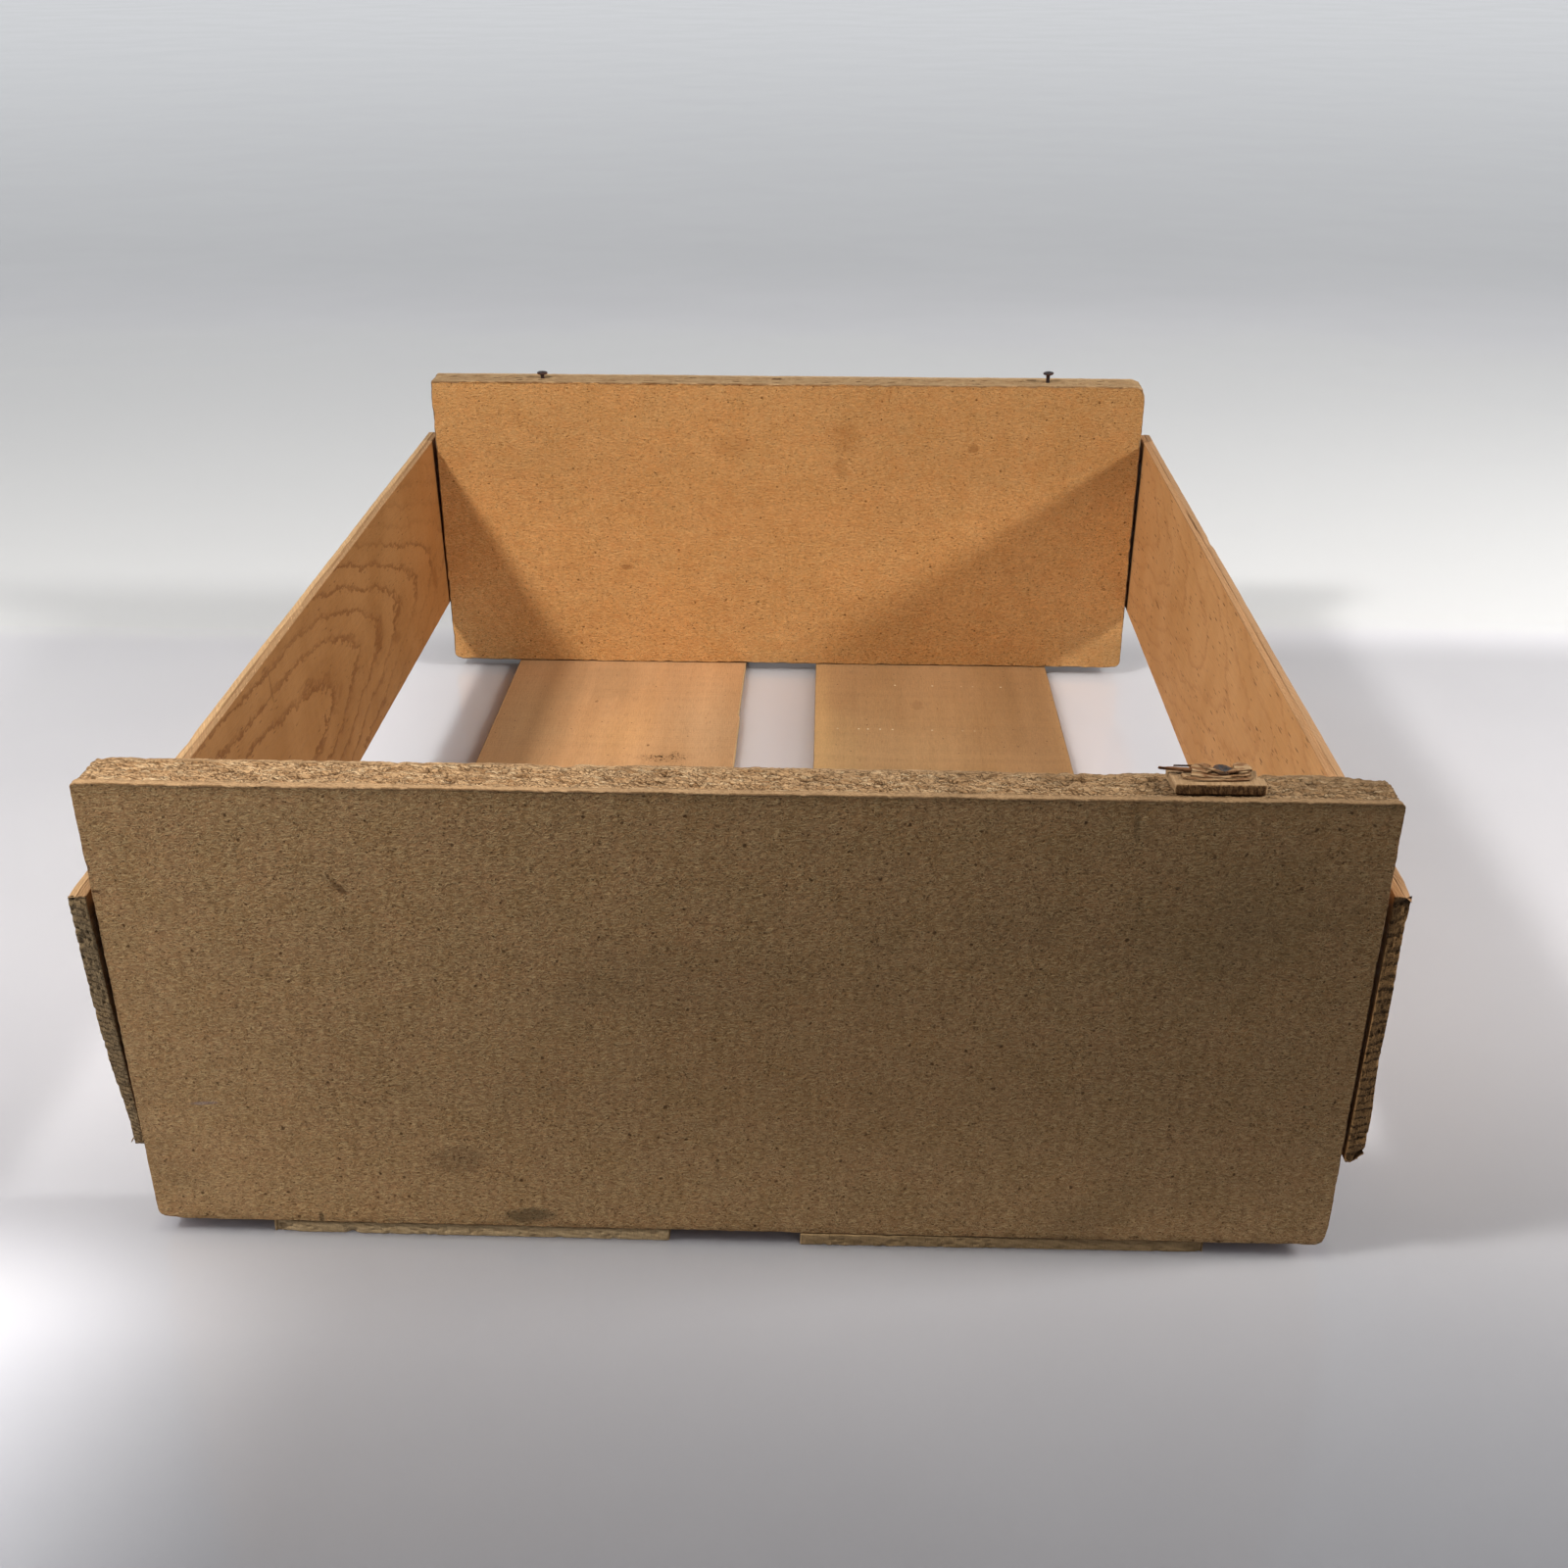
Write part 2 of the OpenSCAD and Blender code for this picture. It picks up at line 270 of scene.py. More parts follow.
def plate(outline, thick, rows, insets, grid, holes, rim, face, convex=True, seed=1):
    """A flat piece: an outline, its thickness from c = 0 to thick, a shaped
    rim, and two faces with nail holes.
    rim(P, N, s, tag, c) gives the inward set, the shift along c, and
    attributes. face(side, a, b) gives the shift along c and attributes.
    holes: (a, b, head side or None, head radius, head depth).
    Returns points (a, b, c), faces, face kinds (0 low face, 1 high face, 2
    rim, 3 hole) with the rim's tag, and attributes."""
    P, N, S, tag = outline
    n, rows = len(P), np.asarray(rows, float)
    R = len(rows)
    centre = (P.min(0) + P.max(0)) / 2
    half = (P.max(0) - P.min(0)) / 2
    cc = np.broadcast_to(rows[None, :], (n, R))
    d, dc, rim_attr = rim(P[:, None, :], N[:, None, :], S[:, None], tag[:, None], cc)
    pts = P[:, None, :] - N[:, None, :] * d[..., None]
    V = [np.concatenate([pts, (cc + dc)[..., None]], -1).transpose(1, 0, 2).reshape(-1, 3)]
    keys = sorted(rim_attr)
    A = {k: [np.broadcast_to(rim_attr[k], (n, R)).T.reshape(-1)] for k in keys}
    faces, kinds, tags = [], [], []
    ii = np.arange(n)
    jj = (ii + 1) % n

    def quads(lo, hi, kind, flip=False):
        q = np.stack([lo + ii, lo + jj, hi + jj, hi + ii], 1)
        if flip:
            q = q[:, ::-1]
        faces.extend(map(tuple, q.tolist()))
        kinds.extend([kind] * n)
        tags.extend(tag.tolist())

    for r in range(R - 1):
        quads(r * n, (r + 1) * n, 2)
    used = n * R

    def add(ab, cz, attr):
        nonlocal used
        V.append(np.column_stack([ab, cz]))
        for k in keys:
            A[k].append(np.broadcast_to(attr.get(k, 0.0), (len(ab),)))
        first = used
        used += len(ab)
        return first

    gx = np.arange(centre[0] - half[0] + insets[-1] + grid * 0.6, centre[0] + half[0] - insets[-1] - grid * 0.4, grid)
    gy = np.arange(centre[1] - half[1] + insets[-1] + grid * 0.6, centre[1] + half[1] - insets[-1] - grid * 0.4, grid)
    gx, gy = np.meshgrid(gx, gy)
    gx, gy = gx.ravel(), gy.ravel()
    gx = gx + grid * 0.18 * noise(gx * 3.1, gy * 2.7, seed + 3)
    gy = gy + grid * 0.18 * noise(gx * 2.9, gy * 3.3, seed + 4)
    hn = 28
    ang = np.arange(hn) * 2 * math.pi / hn
    circle = np.column_stack([np.cos(ang), np.sin(ang)])
    ring_starts = {}
    for side in (0, 1):
        row = 0 if side == 0 else R - 1
        base_c = 0.0 if side == 0 else thick
        prev, d_edge = row * n, d[:, row]
        scale = None
        for inset in insets:
            scale = 1 - inset / half
            ab = centre + (P - centre) * scale
            ab = ab - N * (d_edge * math.exp(-inset / 1.1))[:, None]
            fc, at = face(side, ab[:, 0], ab[:, 1])
            edge_c = (cc + dc)[:, row] - base_c
            fc = fc + edge_c * math.exp(-inset / 0.6)
            cur = add(ab, base_c + fc, at)
            if side == 1:
                quads(prev, cur, 1)
            else:
                quads(prev, cur, 0, flip=True)
            prev = cur
        loop = centre + (P - centre) * scale
        loops, starts = [loop.tolist()], [prev]
        ok = (np.abs(gx - centre[0]) < half[0] * scale[0] - grid * 0.35) & (
            np.abs(gy - centre[1]) < half[1] * scale[1] - grid * 0.35
        )
        if not convex:
            ok &= inside_polygon(gx, gy, loop)
            for p in loop:
                ok &= np.hypot(gx - p[0], gy - p[1]) > grid * 0.4
        extra_rings = []
        for h, (ha, hb, head, hr, _hd) in enumerate(holes):
            edge = hr if head == side else BORE_R
            ring = np.array([ha, hb]) + circle * edge
            fc, at = face(side, ring[:, 0], ring[:, 1])
            first = add(ring, base_c + fc, at)
            ring_starts[(h, side)] = first
            loops.append(ring.tolist())
            starts.append(first)
            outer = [edge + 0.35, edge + 0.9, edge + 1.8] if head == side else [edge + 0.5, edge + 1.3]
            for k, rr in enumerate(outer):
                turn = (k + 1) * math.pi / hn
                extra_rings.append(
                    np.column_stack([ha + rr * np.cos(ang + turn), hb + rr * np.sin(ang + turn)])
                )
            ok &= np.hypot(gx - ha, gy - hb) > outer[-1] + grid * 0.35
        extra = np.column_stack([gx[ok], gy[ok]])
        if extra_rings:
            extra = np.vstack([extra, *extra_rings])
        fc, at = face(side, extra[:, 0], extra[:, 1])
        first = add(extra, base_c + fc, at)
        starts.append(first)
        sizes = [len(x) for x in loops] + [len(extra)]
        local = np.concatenate([s + np.arange(m) for s, m in zip(starts, sizes)])
        for t in fill(loops, extra.tolist(), convex):
            t = tuple(int(local[i]) for i in t)
            faces.append(t if side == 1 else t[::-1])
            kinds.append(side)
            tags.append(-1)
    hi = np.arange(hn)
    hj = (hi + 1) % hn
    for h, (ha, hb, head, hr, hd) in enumerate(holes):
        path = []
        if head is None:
            path = [ring_starts[(h, 1)], ring_starts[(h, 0)]]
            flip = False
        else:
            top_c = thick if head == 1 else 0.0
            deep = top_c - hd if head == 1 else top_c + hd
            w = np.array([ha, hb]) + circle * (hr - 0.03)
            b = np.array([ha, hb]) + circle * BORE_R
            one = np.ones(hn)
            dark = {k: 1.0 for k in keys if k == "depth"}
            path = [
                ring_starts[(h, head)],
                add(w, one * deep, dark),
                add(b, one * deep, dark),
                ring_starts[(h, 1 - head)],
            ]
            flip = head == 0
        for p, q in zip(path, path[1:]):
            quad = np.stack([p + hi, p + hj, q + hj, q + hi], 1)
            if flip:
                quad = quad[:, ::-1]
            faces.extend(map(tuple, quad.tolist()))
            kinds.extend([3] * hn)
            tags.extend([-1] * hn)
    V = np.vstack(V)
    return V, faces, np.array(kinds), np.array(tags), {k: np.concatenate(A[k]) for k in keys}


def place(matrix, pts):
    m = np.array(matrix, float)
    return np.asarray(pts) @ m[:3, :3].T + m[:3, 3]


def arris(c, thick, r_low, r_high):
    """How far a rounded edge lies inside the square one."""
    out = np.zeros(np.broadcast(c, r_low).shape)
    for dist, r in ((c, r_low), (thick - c, r_high)):
        r = np.maximum(r, 1e-3)
        t = np.clip(1 - dist / r, 0, 1)
        out = out + r * (1 - np.sqrt(np.clip(1 - t * t, 0, 1)))
    return out


def splinter(p, q, r, bend, seed, sides=6, steps=9, flat=0.5):
    """A closed sliver of wood from p to q, thickest near p."""
    p, q = np.array(p, float), np.array(q, float)
    axis = q - p
    length = np.linalg.norm(axis)
    axis /= length
    up = np.array([0, 0, 1.0]) if abs(axis[2]) < 0.8 else np.array([1.0, 0, 0])
    side = np.cross(axis, up)
    side /= np.linalg.norm(side)
    up = np.cross(side, axis)
    V, F = [p - axis * 0.0], []
    for k in range(1, steps):
        t = k / steps
        w = r * min(1.0, 5 * t) * (1 - t) ** 0.6
        mid = p + axis * length * t + np.array(bend) * t * t
        for j in range(sides):
            a = 2 * math.pi * (j + 0.2) / sides
            k1 = 1 + 0.3 * float(noise(j * 1.7, k * 0.9, seed))
            V.append(mid + side * w * k1 * math.cos(a) + up * w * flat * k1 * math.sin(a))
    V.append(q + np.array(bend))
    last = len(V) - 1
    for j in range(sides):
        m = (j + 1) % sides
        F.append((0, 1 + m, 1 + j))
        for k in range(steps - 2):
            F.append((1 + k * sides + j, 1 + k * sides + m, 1 + (k + 1) * sides + m, 1 + (k + 1) * sides + j))
        F.append((1 + (steps - 2) * sides + j, 1 + (steps - 2) * sides + m, last))
    return np.array(V), F


def nail_mesh(seed, head_wear=1.0, tilt=(0.0, 0.0), sink=0.05):
    """A box nail along -z with the top of its head near z = 0."""
    n = 40
    a = np.arange(n) * 2 * math.pi / n
    prof = [
        (0.35, -0.02), (0.8, -0.02), (1.25, 0.0), (1.65, -0.01), (1.95, -0.02), (2.2, -0.06),
        (2.38, -0.16), (2.46, -0.32), (2.47, -0.55), (2.43, -0.75), (2.28, -0.9), (1.9, -0.97),
        (1.45, -1.0), (1.12, -1.06), (0.98, -1.2), (0.93, -1.5),
    ]
    z = -1.9
    while z > -28.6:
        grip = 0.035 if (-8.5 < z < -2.2 and int((-z) / 0.55) % 2) else 0.0
        prof.append((0.92 - grip, z))
        z -= 0.55 if z > -9 else 1.4
    prof += [(0.9, -28.7), (0.62, -29.8), (0.34, -30.9), (0.12, -31.6)]
    V, F = [], []
    ux, uy = np.cos(a), np.sin(a)
    for k, (r, z) in enumerate(prof):
        wobble = 1 + 0.02 * head_wear * fbm(a * 1.3 + 5, np.full(n, 0.3 * k), seed, 2)
        if z > -1.05:
            wobble = wobble + head_wear * 0.03 * noise(a / (2 * math.pi) * 5, np.full(n, 1.0), seed + 3)
            wobble = wobble * (1 - 0.03 * head_wear * ramp(0.6, 1.0, np.cos(a - seed)))
        rr = np.minimum(r * wobble, 2.49)
        if z < -28.6:
            rr = r * (1 + 0.1 * np.cos(4 * a))
        zz = np.full(n, z)
        if z > -0.4:
            zz = zz - 0.05 * head_wear * (0.5 + 0.5 * fbm(rr * ux / 0.8, rr * uy / 0.8, seed + 9, 2))
            zz = zz - 0.14 * head_wear * ramp(1.2, 0.2, np.hypot(rr * ux - 0.5, rr * uy + 0.4))
        V.append(np.column_stack([rr * ux, rr * uy, zz]))
    V = np.vstack(V + [np.array([[0, 0, -0.04 - 0.1 * head_wear], [0, 0, -NAIL_L + 0.02]])])
    top, tip = len(V) - 2, len(V) - 1
    k = len(prof)
    for i in range(n):
        j = (i + 1) % n
        F.append((top, i, j))
        for m in range(k - 1):
            F.append((m * n + i, (m + 1) * n + i, (m + 1) * n + j, m * n + j))
        F.append(((k - 1) * n + i, tip, (k - 1) * n + j))
    head = V[:, 2] > -1.3
    t = ramp(-3.5, -0.8, V[:, 2])
    V[:, 2] += t * (V[:, 0] * tilt[0] + V[:, 1] * tilt[1])
    V[:, 2] -= sink * t
    at = {
        "head": np.where(head, 1.0, 0.0),
        "along": -V[:, 2],
        "radial": np.hypot(V[:, 0], V[:, 1]),
    }
    return V, F, at


def join(parts):
    """Joins (points, faces, slots, attributes) into one."""
    V, F, K, base = [], [], [], 0
    keys = sorted(set(k for p in parts for k in p[3]))
    A = {k: [] for k in keys}
    for v, f, s, at in parts:
        V.append(v)
        F.extend(tuple(i + base for i in face) for face in f)
        K.extend(s)
        for k in keys:
            A[k].append(np.broadcast_to(at.get(k, 0.0), (len(v),)))
        base += len(v)
    return np.vstack(V), F, K, {k: np.concatenate(A[k]) for k in keys}


# --------------------------------------------------------------------------
# materials
# --------------------------------------------------------------------------
def lin(r, g, b):
    """A linear colour from an 8-bit display colour."""
    out = []
    for c in (r, g, b):
        c = c / 255
        out.append(c / 12.92 if c <= 0.04045 else ((c + 0.055) / 1.055) ** 2.4)
    return (*out, 1.0)


class Graph:
    """A material's nodes, written as an expression."""

    def __init__(self, name):
        self.mat = bpy.data.materials.new(name)
        self.mat.use_nodes = True
        self.tree = self.mat.node_tree
        self.tree.nodes.clear()
        co = self.node("ShaderNodeTexCoord").outputs["Object"]
        self.p = self.vmul(co, (1000, 1000, 1000))
        self.x, self.y, self.z = self.split(self.p)

    def node(self, kind, **kw):
        n = self.tree.nodes.new(kind)
        for k, v in kw.items():
            setattr(n, k, v)
        return n

    def put(self, sock, v):
        if isinstance(v, bpy.types.NodeSocket):
            self.tree.links.new(v, sock)
        else:
            sock.default_value = v[:3] if sock.type == "VECTOR" and len(v) == 4 else v

    def math(self, op, a, b=0.0, c=0.0, clamp=False):
        n = self.node("ShaderNodeMath", operation=op, use_clamp=clamp)
        for s, v in zip(n.inputs, (a, b, c)):
            self.put(s, v)
        return n.outputs[0]

    def add(self, *xs):
        out = xs[0]
        for x in xs[1:]:
            out = self.math("ADD", out, x)
        return out

    def sub(self, a, b):
        return self.math("SUBTRACT", a, b)

    def mul(self, *xs):
        out = xs[0]
        for x in xs[1:]:
            out = self.math("MULTIPLY", out, x)
        return out

    def mad(self, a, b, c):
        return self.math("MULTIPLY_ADD", a, b, c)

    def vmath(self, op, a, b=(0, 0, 0)):
        n = self.node("ShaderNodeVectorMath", operation=op)
        self.put(n.inputs[0], a)
        self.put(n.inputs[1], b)
        return n.outputs[1 if op in ("LENGTH", "DOT_PRODUCT") else 0]

    def vmul(self, a, b):
        return self.vmath("MULTIPLY", a, b)

    def vadd(self, a, b):
        return self.vmath("ADD", a, b)

    def vec(self, x=0.0, y=0.0, z=0.0):
        n = self.node("ShaderNodeCombineXYZ")
        for s, v in zip(n.inputs, (x, y, z)):
            self.put(s, v)
        return n.outputs[0]

    def split(self, v):
        n = self.node("ShaderNodeSeparateXYZ")
        self.put(n.inputs[0], v)
        return n.outputs[0], n.outputs[1], n.outputs[2]

    def turn(self, v, angle):
        n = self.node("ShaderNodeVectorRotate", rotation_type="Z_AXIS")
        self.put(n.inputs["Vector"], v)
        n.inputs["Angle"].default_value = math.radians(angle)
        return n.outputs[0]

    def noise(self, v, scale=1.0, detail=2.0, rough=0.5, distort=0.0, colour=False):
        n = self.node("ShaderNodeTexNoise", noise_dimensions="3D")
        self.put(n.inputs["Vector"], v)
        n.inputs["Scale"].default_value = scale
        n.inputs["Detail"].default_value = detail
        n.inputs["Roughness"].default_value = rough
        n.inputs["Distortion"].default_value = distort
        return n.outputs["Color" if colour else "Fac"]

    def cells(self, v, scale=1.0, feature="F1", rand=1.0, dims="2D"):
        n = self.node("ShaderNodeTexVoronoi", feature=feature, voronoi_dimensions=dims)
        self.put(n.inputs["Vector"], v)
        n.inputs["Scale"].default_value = scale
        n.inputs["Randomness"].default_value = rand
        return n.outputs["Distance"], (n.outputs["Color"] if feature != "DISTANCE_TO_EDGE" else None)

    def ss(self, x, a, b):
        """Smooth step, 0 at a and 1 at b; a may be the larger."""
        n = self.node("ShaderNodeMapRange", interpolation_type="SMOOTHSTEP")
        self.put(n.inputs["Value"], x)
        lo, hi, t0, t1 = (a, b, 0.0, 1.0) if a < b else (b, a, 1.0, 0.0)
        n.inputs["From Min"].default_value = lo
        n.inputs["From Max"].default_value = hi
        n.inputs["To Min"].default_value = t0
        n.inputs["To Max"].default_value = t1
        return n.outputs["Result"]

    def mix(self, fac, a, b, how="MIX"):
        n = self.node("ShaderNodeMix", data_type="RGBA", blend_type=how)
        self.put(n.inputs[0], fac)
        self.put(n.inputs[6], a)
        self.put(n.inputs[7], b)
        return n.outputs[2]

    def shade(self, colour, value):
        """colour times a number."""
        return self.vmul(colour, self.vec(value, value, value))

    def attr(self, name):
        return self.node("ShaderNodeAttribute", attribute_name=name).outputs["Fac"]

    def bump(self, height, strength=1.0, normal=None):
        """height in millimetres."""
        n = self.node("ShaderNodeBump")
        n.inputs["Strength"].default_value = strength
        n.inputs["Distance"].default_value = 0.001
        self.put(n.inputs["Height"], height)
        if normal is not None:
            self.put(n.inputs["Normal"], normal)
        return n.outputs[0]

    def finish(self, colour, rough, height=None, metallic=None, specular=0.35, strength=1.0, ior=1.5):
        b = self.node("ShaderNodeBsdfPrincipled")
        self.put(b.inputs["Base Color"], colour)
        self.put(b.inputs["Roughness"], rough)
        if metallic is not None:
            self.put(b.inputs["Metallic"], metallic)
        b.inputs["Specular IOR Level"].default_value = specular
        b.inputs["IOR"].default_value = ior
        if height is not None:
            self.put(b.inputs["Normal"], self.bump(height, strength))
        out = self.node("ShaderNodeOutputMaterial")
        self.tree.links.new(b.outputs[0], out.inputs[0])
        return self.mat

    # --- shared patterns ---
    def dashes(self, v2, length, width, angle, shift, share, r0=0.3, r1=0.12):
        """Scattered strokes in a plane: v2 in millimetres."""
        v = self.turn(v2, angle) if angle else v2
        v = self.vadd(self.vmul(v, (0.5 / length, 0.5 / width, 0)), (shift, shift * 0.7, 0))
        dist, col = self.cells(v)
        r, g, _b = self.split(col)
        keep = self.math("GREATER_THAN", r, 1 - share)
        return self.mul(keep, self.ss(dist, r0, r1), self.mad(g, 0.65, 0.35))

    def dots(self, v2, cell, r0, share, shift=0.0):
        v = self.vadd(self.vmul(v2, (1 / cell, 1 / cell, 0)), (shift, shift, 0))
        dist, col = self.cells(v)
        r, g, _b = self.split(col)
        keep = self.math("GREATER_THAN", r, 1 - share)
        size = self.mad(g, 0.7 * r0, 0.3 * r0)
        # a dot whose edge is soft over half its radius
        inside = self.math("SUBTRACT", 1.0, self.math("DIVIDE", dist, size), clamp=True)
        return self.mul(keep, self.math("MINIMUM", self.mul(inside, 2.5), 1.0)), g

    def blot(self, u, v, at, size, turn=0.0, soft=0.45, wobble=0.35, seed=0.0, n=None):
        """A soft uneven mark at a point, with half-sizes in millimetres."""
        c, s = math.cos(math.radians(turn)), math.sin(math.radians(turn))
        du, dv = self.sub(u, at[0]), self.sub(v, at[1])
        a = self.mul(self.add(self.mul(du, c), self.mul(dv, s)), 1 / size[0])
        b = self.mul(self.add(self.mul(dv, c), self.mul(du, -s)), 1 / size[1])
        d = self.math("SQRT", self.add(self.mul(a, a), self.mul(b, b)))
        if n is not None:
            d = self.add(d, self.mul(self.sub(n, 0.5), 2 * wobble))
        return self.ss(d, 1.0 + soft * 0.4, 1.0 - soft)


def board_face_material(name, base, alt, fibre, outer, k=1.0, dotted=1.0):
    """The pressed face of the three-layer board: felted fine fibres."""
    g = Graph(name)
    v2 = g.vec(g.x, g.z, 0.0)
    warp = g.vadd(v2, g.vmul(g.noise(g.p, 0.35, 2, colour=True), (1.6, 1.6, 0)))
    warp = g.vmul(warp, (1.3, 1.3, 0))
    fine = g.noise(g.p, 2.5, 3, 0.64)
    mid = g.noise(g.vmul(g.p, (0.6, 0.6, 0.9)), 1.0, 3, 0.6)
    wide = g.noise(g.p, 0.085, 3, 0.55)
    huge = g.noise(g.p, 0.014, 2, 0.5)
    col = g.mix(g.ss(wide, 0.36, 0.66), base, alt)
    flake = g.noise(g.vmul(g.p, (0.55, 0.55, 1.25)), 1.0, 3, 0.7)
    inner = dotted > 1
    more = 1.45 * k if inner else 1.05 * k
    # faint reddish and olive patches
    hue = g.noise(g.vmul(g.p, (0.05, 0.05, 0.09)), 1.0, 3, 0.6)
    col = g.mix(g.mul(g.ss(hue, 0.5, 0.66), 0.35), col, g.vmul(base, (0.92, 0.98, 1.0)))
    col = g.mix(g.mul(g.ss(hue, 0.48, 0.34), 0.35), col, g.vmul(base, (1.05, 0.99, 0.94)))
    v = g.add(
        1.0,
        g.mul(g.sub(fine, 0.5), 1.1 * more),
        g.mul(g.sub(mid, 0.5), 0.45 * more),
        g.mul(g.sub(flake, 0.5), 0.85 * more),
        g.mul(g.sub(wide, 0.5), 0.12),
        g.mul(g.sub(huge, 0.5), 0.26),
    )
    col = g.shade(col, v)
    # darker crumbs and gaps between the fibres
    dark = g.dashes(warp, 1.7, 0.5, 6, 21.3, 0.5)
    for length, width, angle, shift, share in ((1.2, 0.42, -30, 27.1, 0.45), (2.4, 0.38, 12, 35.5, 0.35)):
        dark = g.math("MAXIMUM", dark, g.dashes(warp, length, width, angle, shift, share))
    warm = g.vmul(base, (0.4, 0.3, 0.22))
    col = g.mix(g.mul(dark, (0.2 if inner else 0.38) * k), col, warm)
    # pale fibres lying mostly level
    light = g.dashes(warp, 2.4, 0.4, -9, 1.3, 0.5)
    for length, width, angle, shift, share in (
        (1.8, 0.34, 14, 5.1, 0.5),
        (3.2, 0.36, 3, 9.7, 0.4),
        (1.7, 0.32, -38, 3.9, 0.42),
        (1.5, 0.32, 47, 7.7, 0.36),
        (1.1, 0.26, 80, 2.2, 0.3),
    ):
        light = g.math("MAXIMUM", light, g.dashes(warp, length, width, angle, shift, share))
    col = g.mix(g.mul(light, 0.68 * k), col, fibre)
    specks = g.dashes(warp, 0.8, 0.42, 18, 4.4, 0.06 if inner else 0.1, 0.36, 0.18)
    specks = g.math("MAXIMUM", specks, g.dashes(warp, 0.6, 0.5, -50, 14.4, 0.05 if inner else 0.08, 0.36, 0.18))
    if inner:
        specks = g.math("MAXIMUM", specks, g.dashes(warp, 1.1, 0.42, -12, 31.4, 0.06, 0.36, 0.2))
    col = g.mix(g.mul(specks, 0.76), col, g.vmul(base, (0.17, 0.12, 0.08)))
    big, _t = g.dots(warp, 11.0, 0.075, 0.46, 9.1)
    col = g.mix(g.mul(big, 0.75), col, g.vmul(base, (0.15, 0.1, 0.06)))
    col = outer(g, col, v2, fine, mid) if outer else col
    height = g.add(
        g.mul(fine, 0.3), g.mul(mid, 0.3), g.mul(flake, 0.4), g.mul(light, 0.12), g.mul(dark, -0.1),
        g.mul(specks, -0.16), g.mul(big, -0.2),
    )
    return g.finish(col, g.mad(fine, 0.1, 0.78), height, specular=0.22)


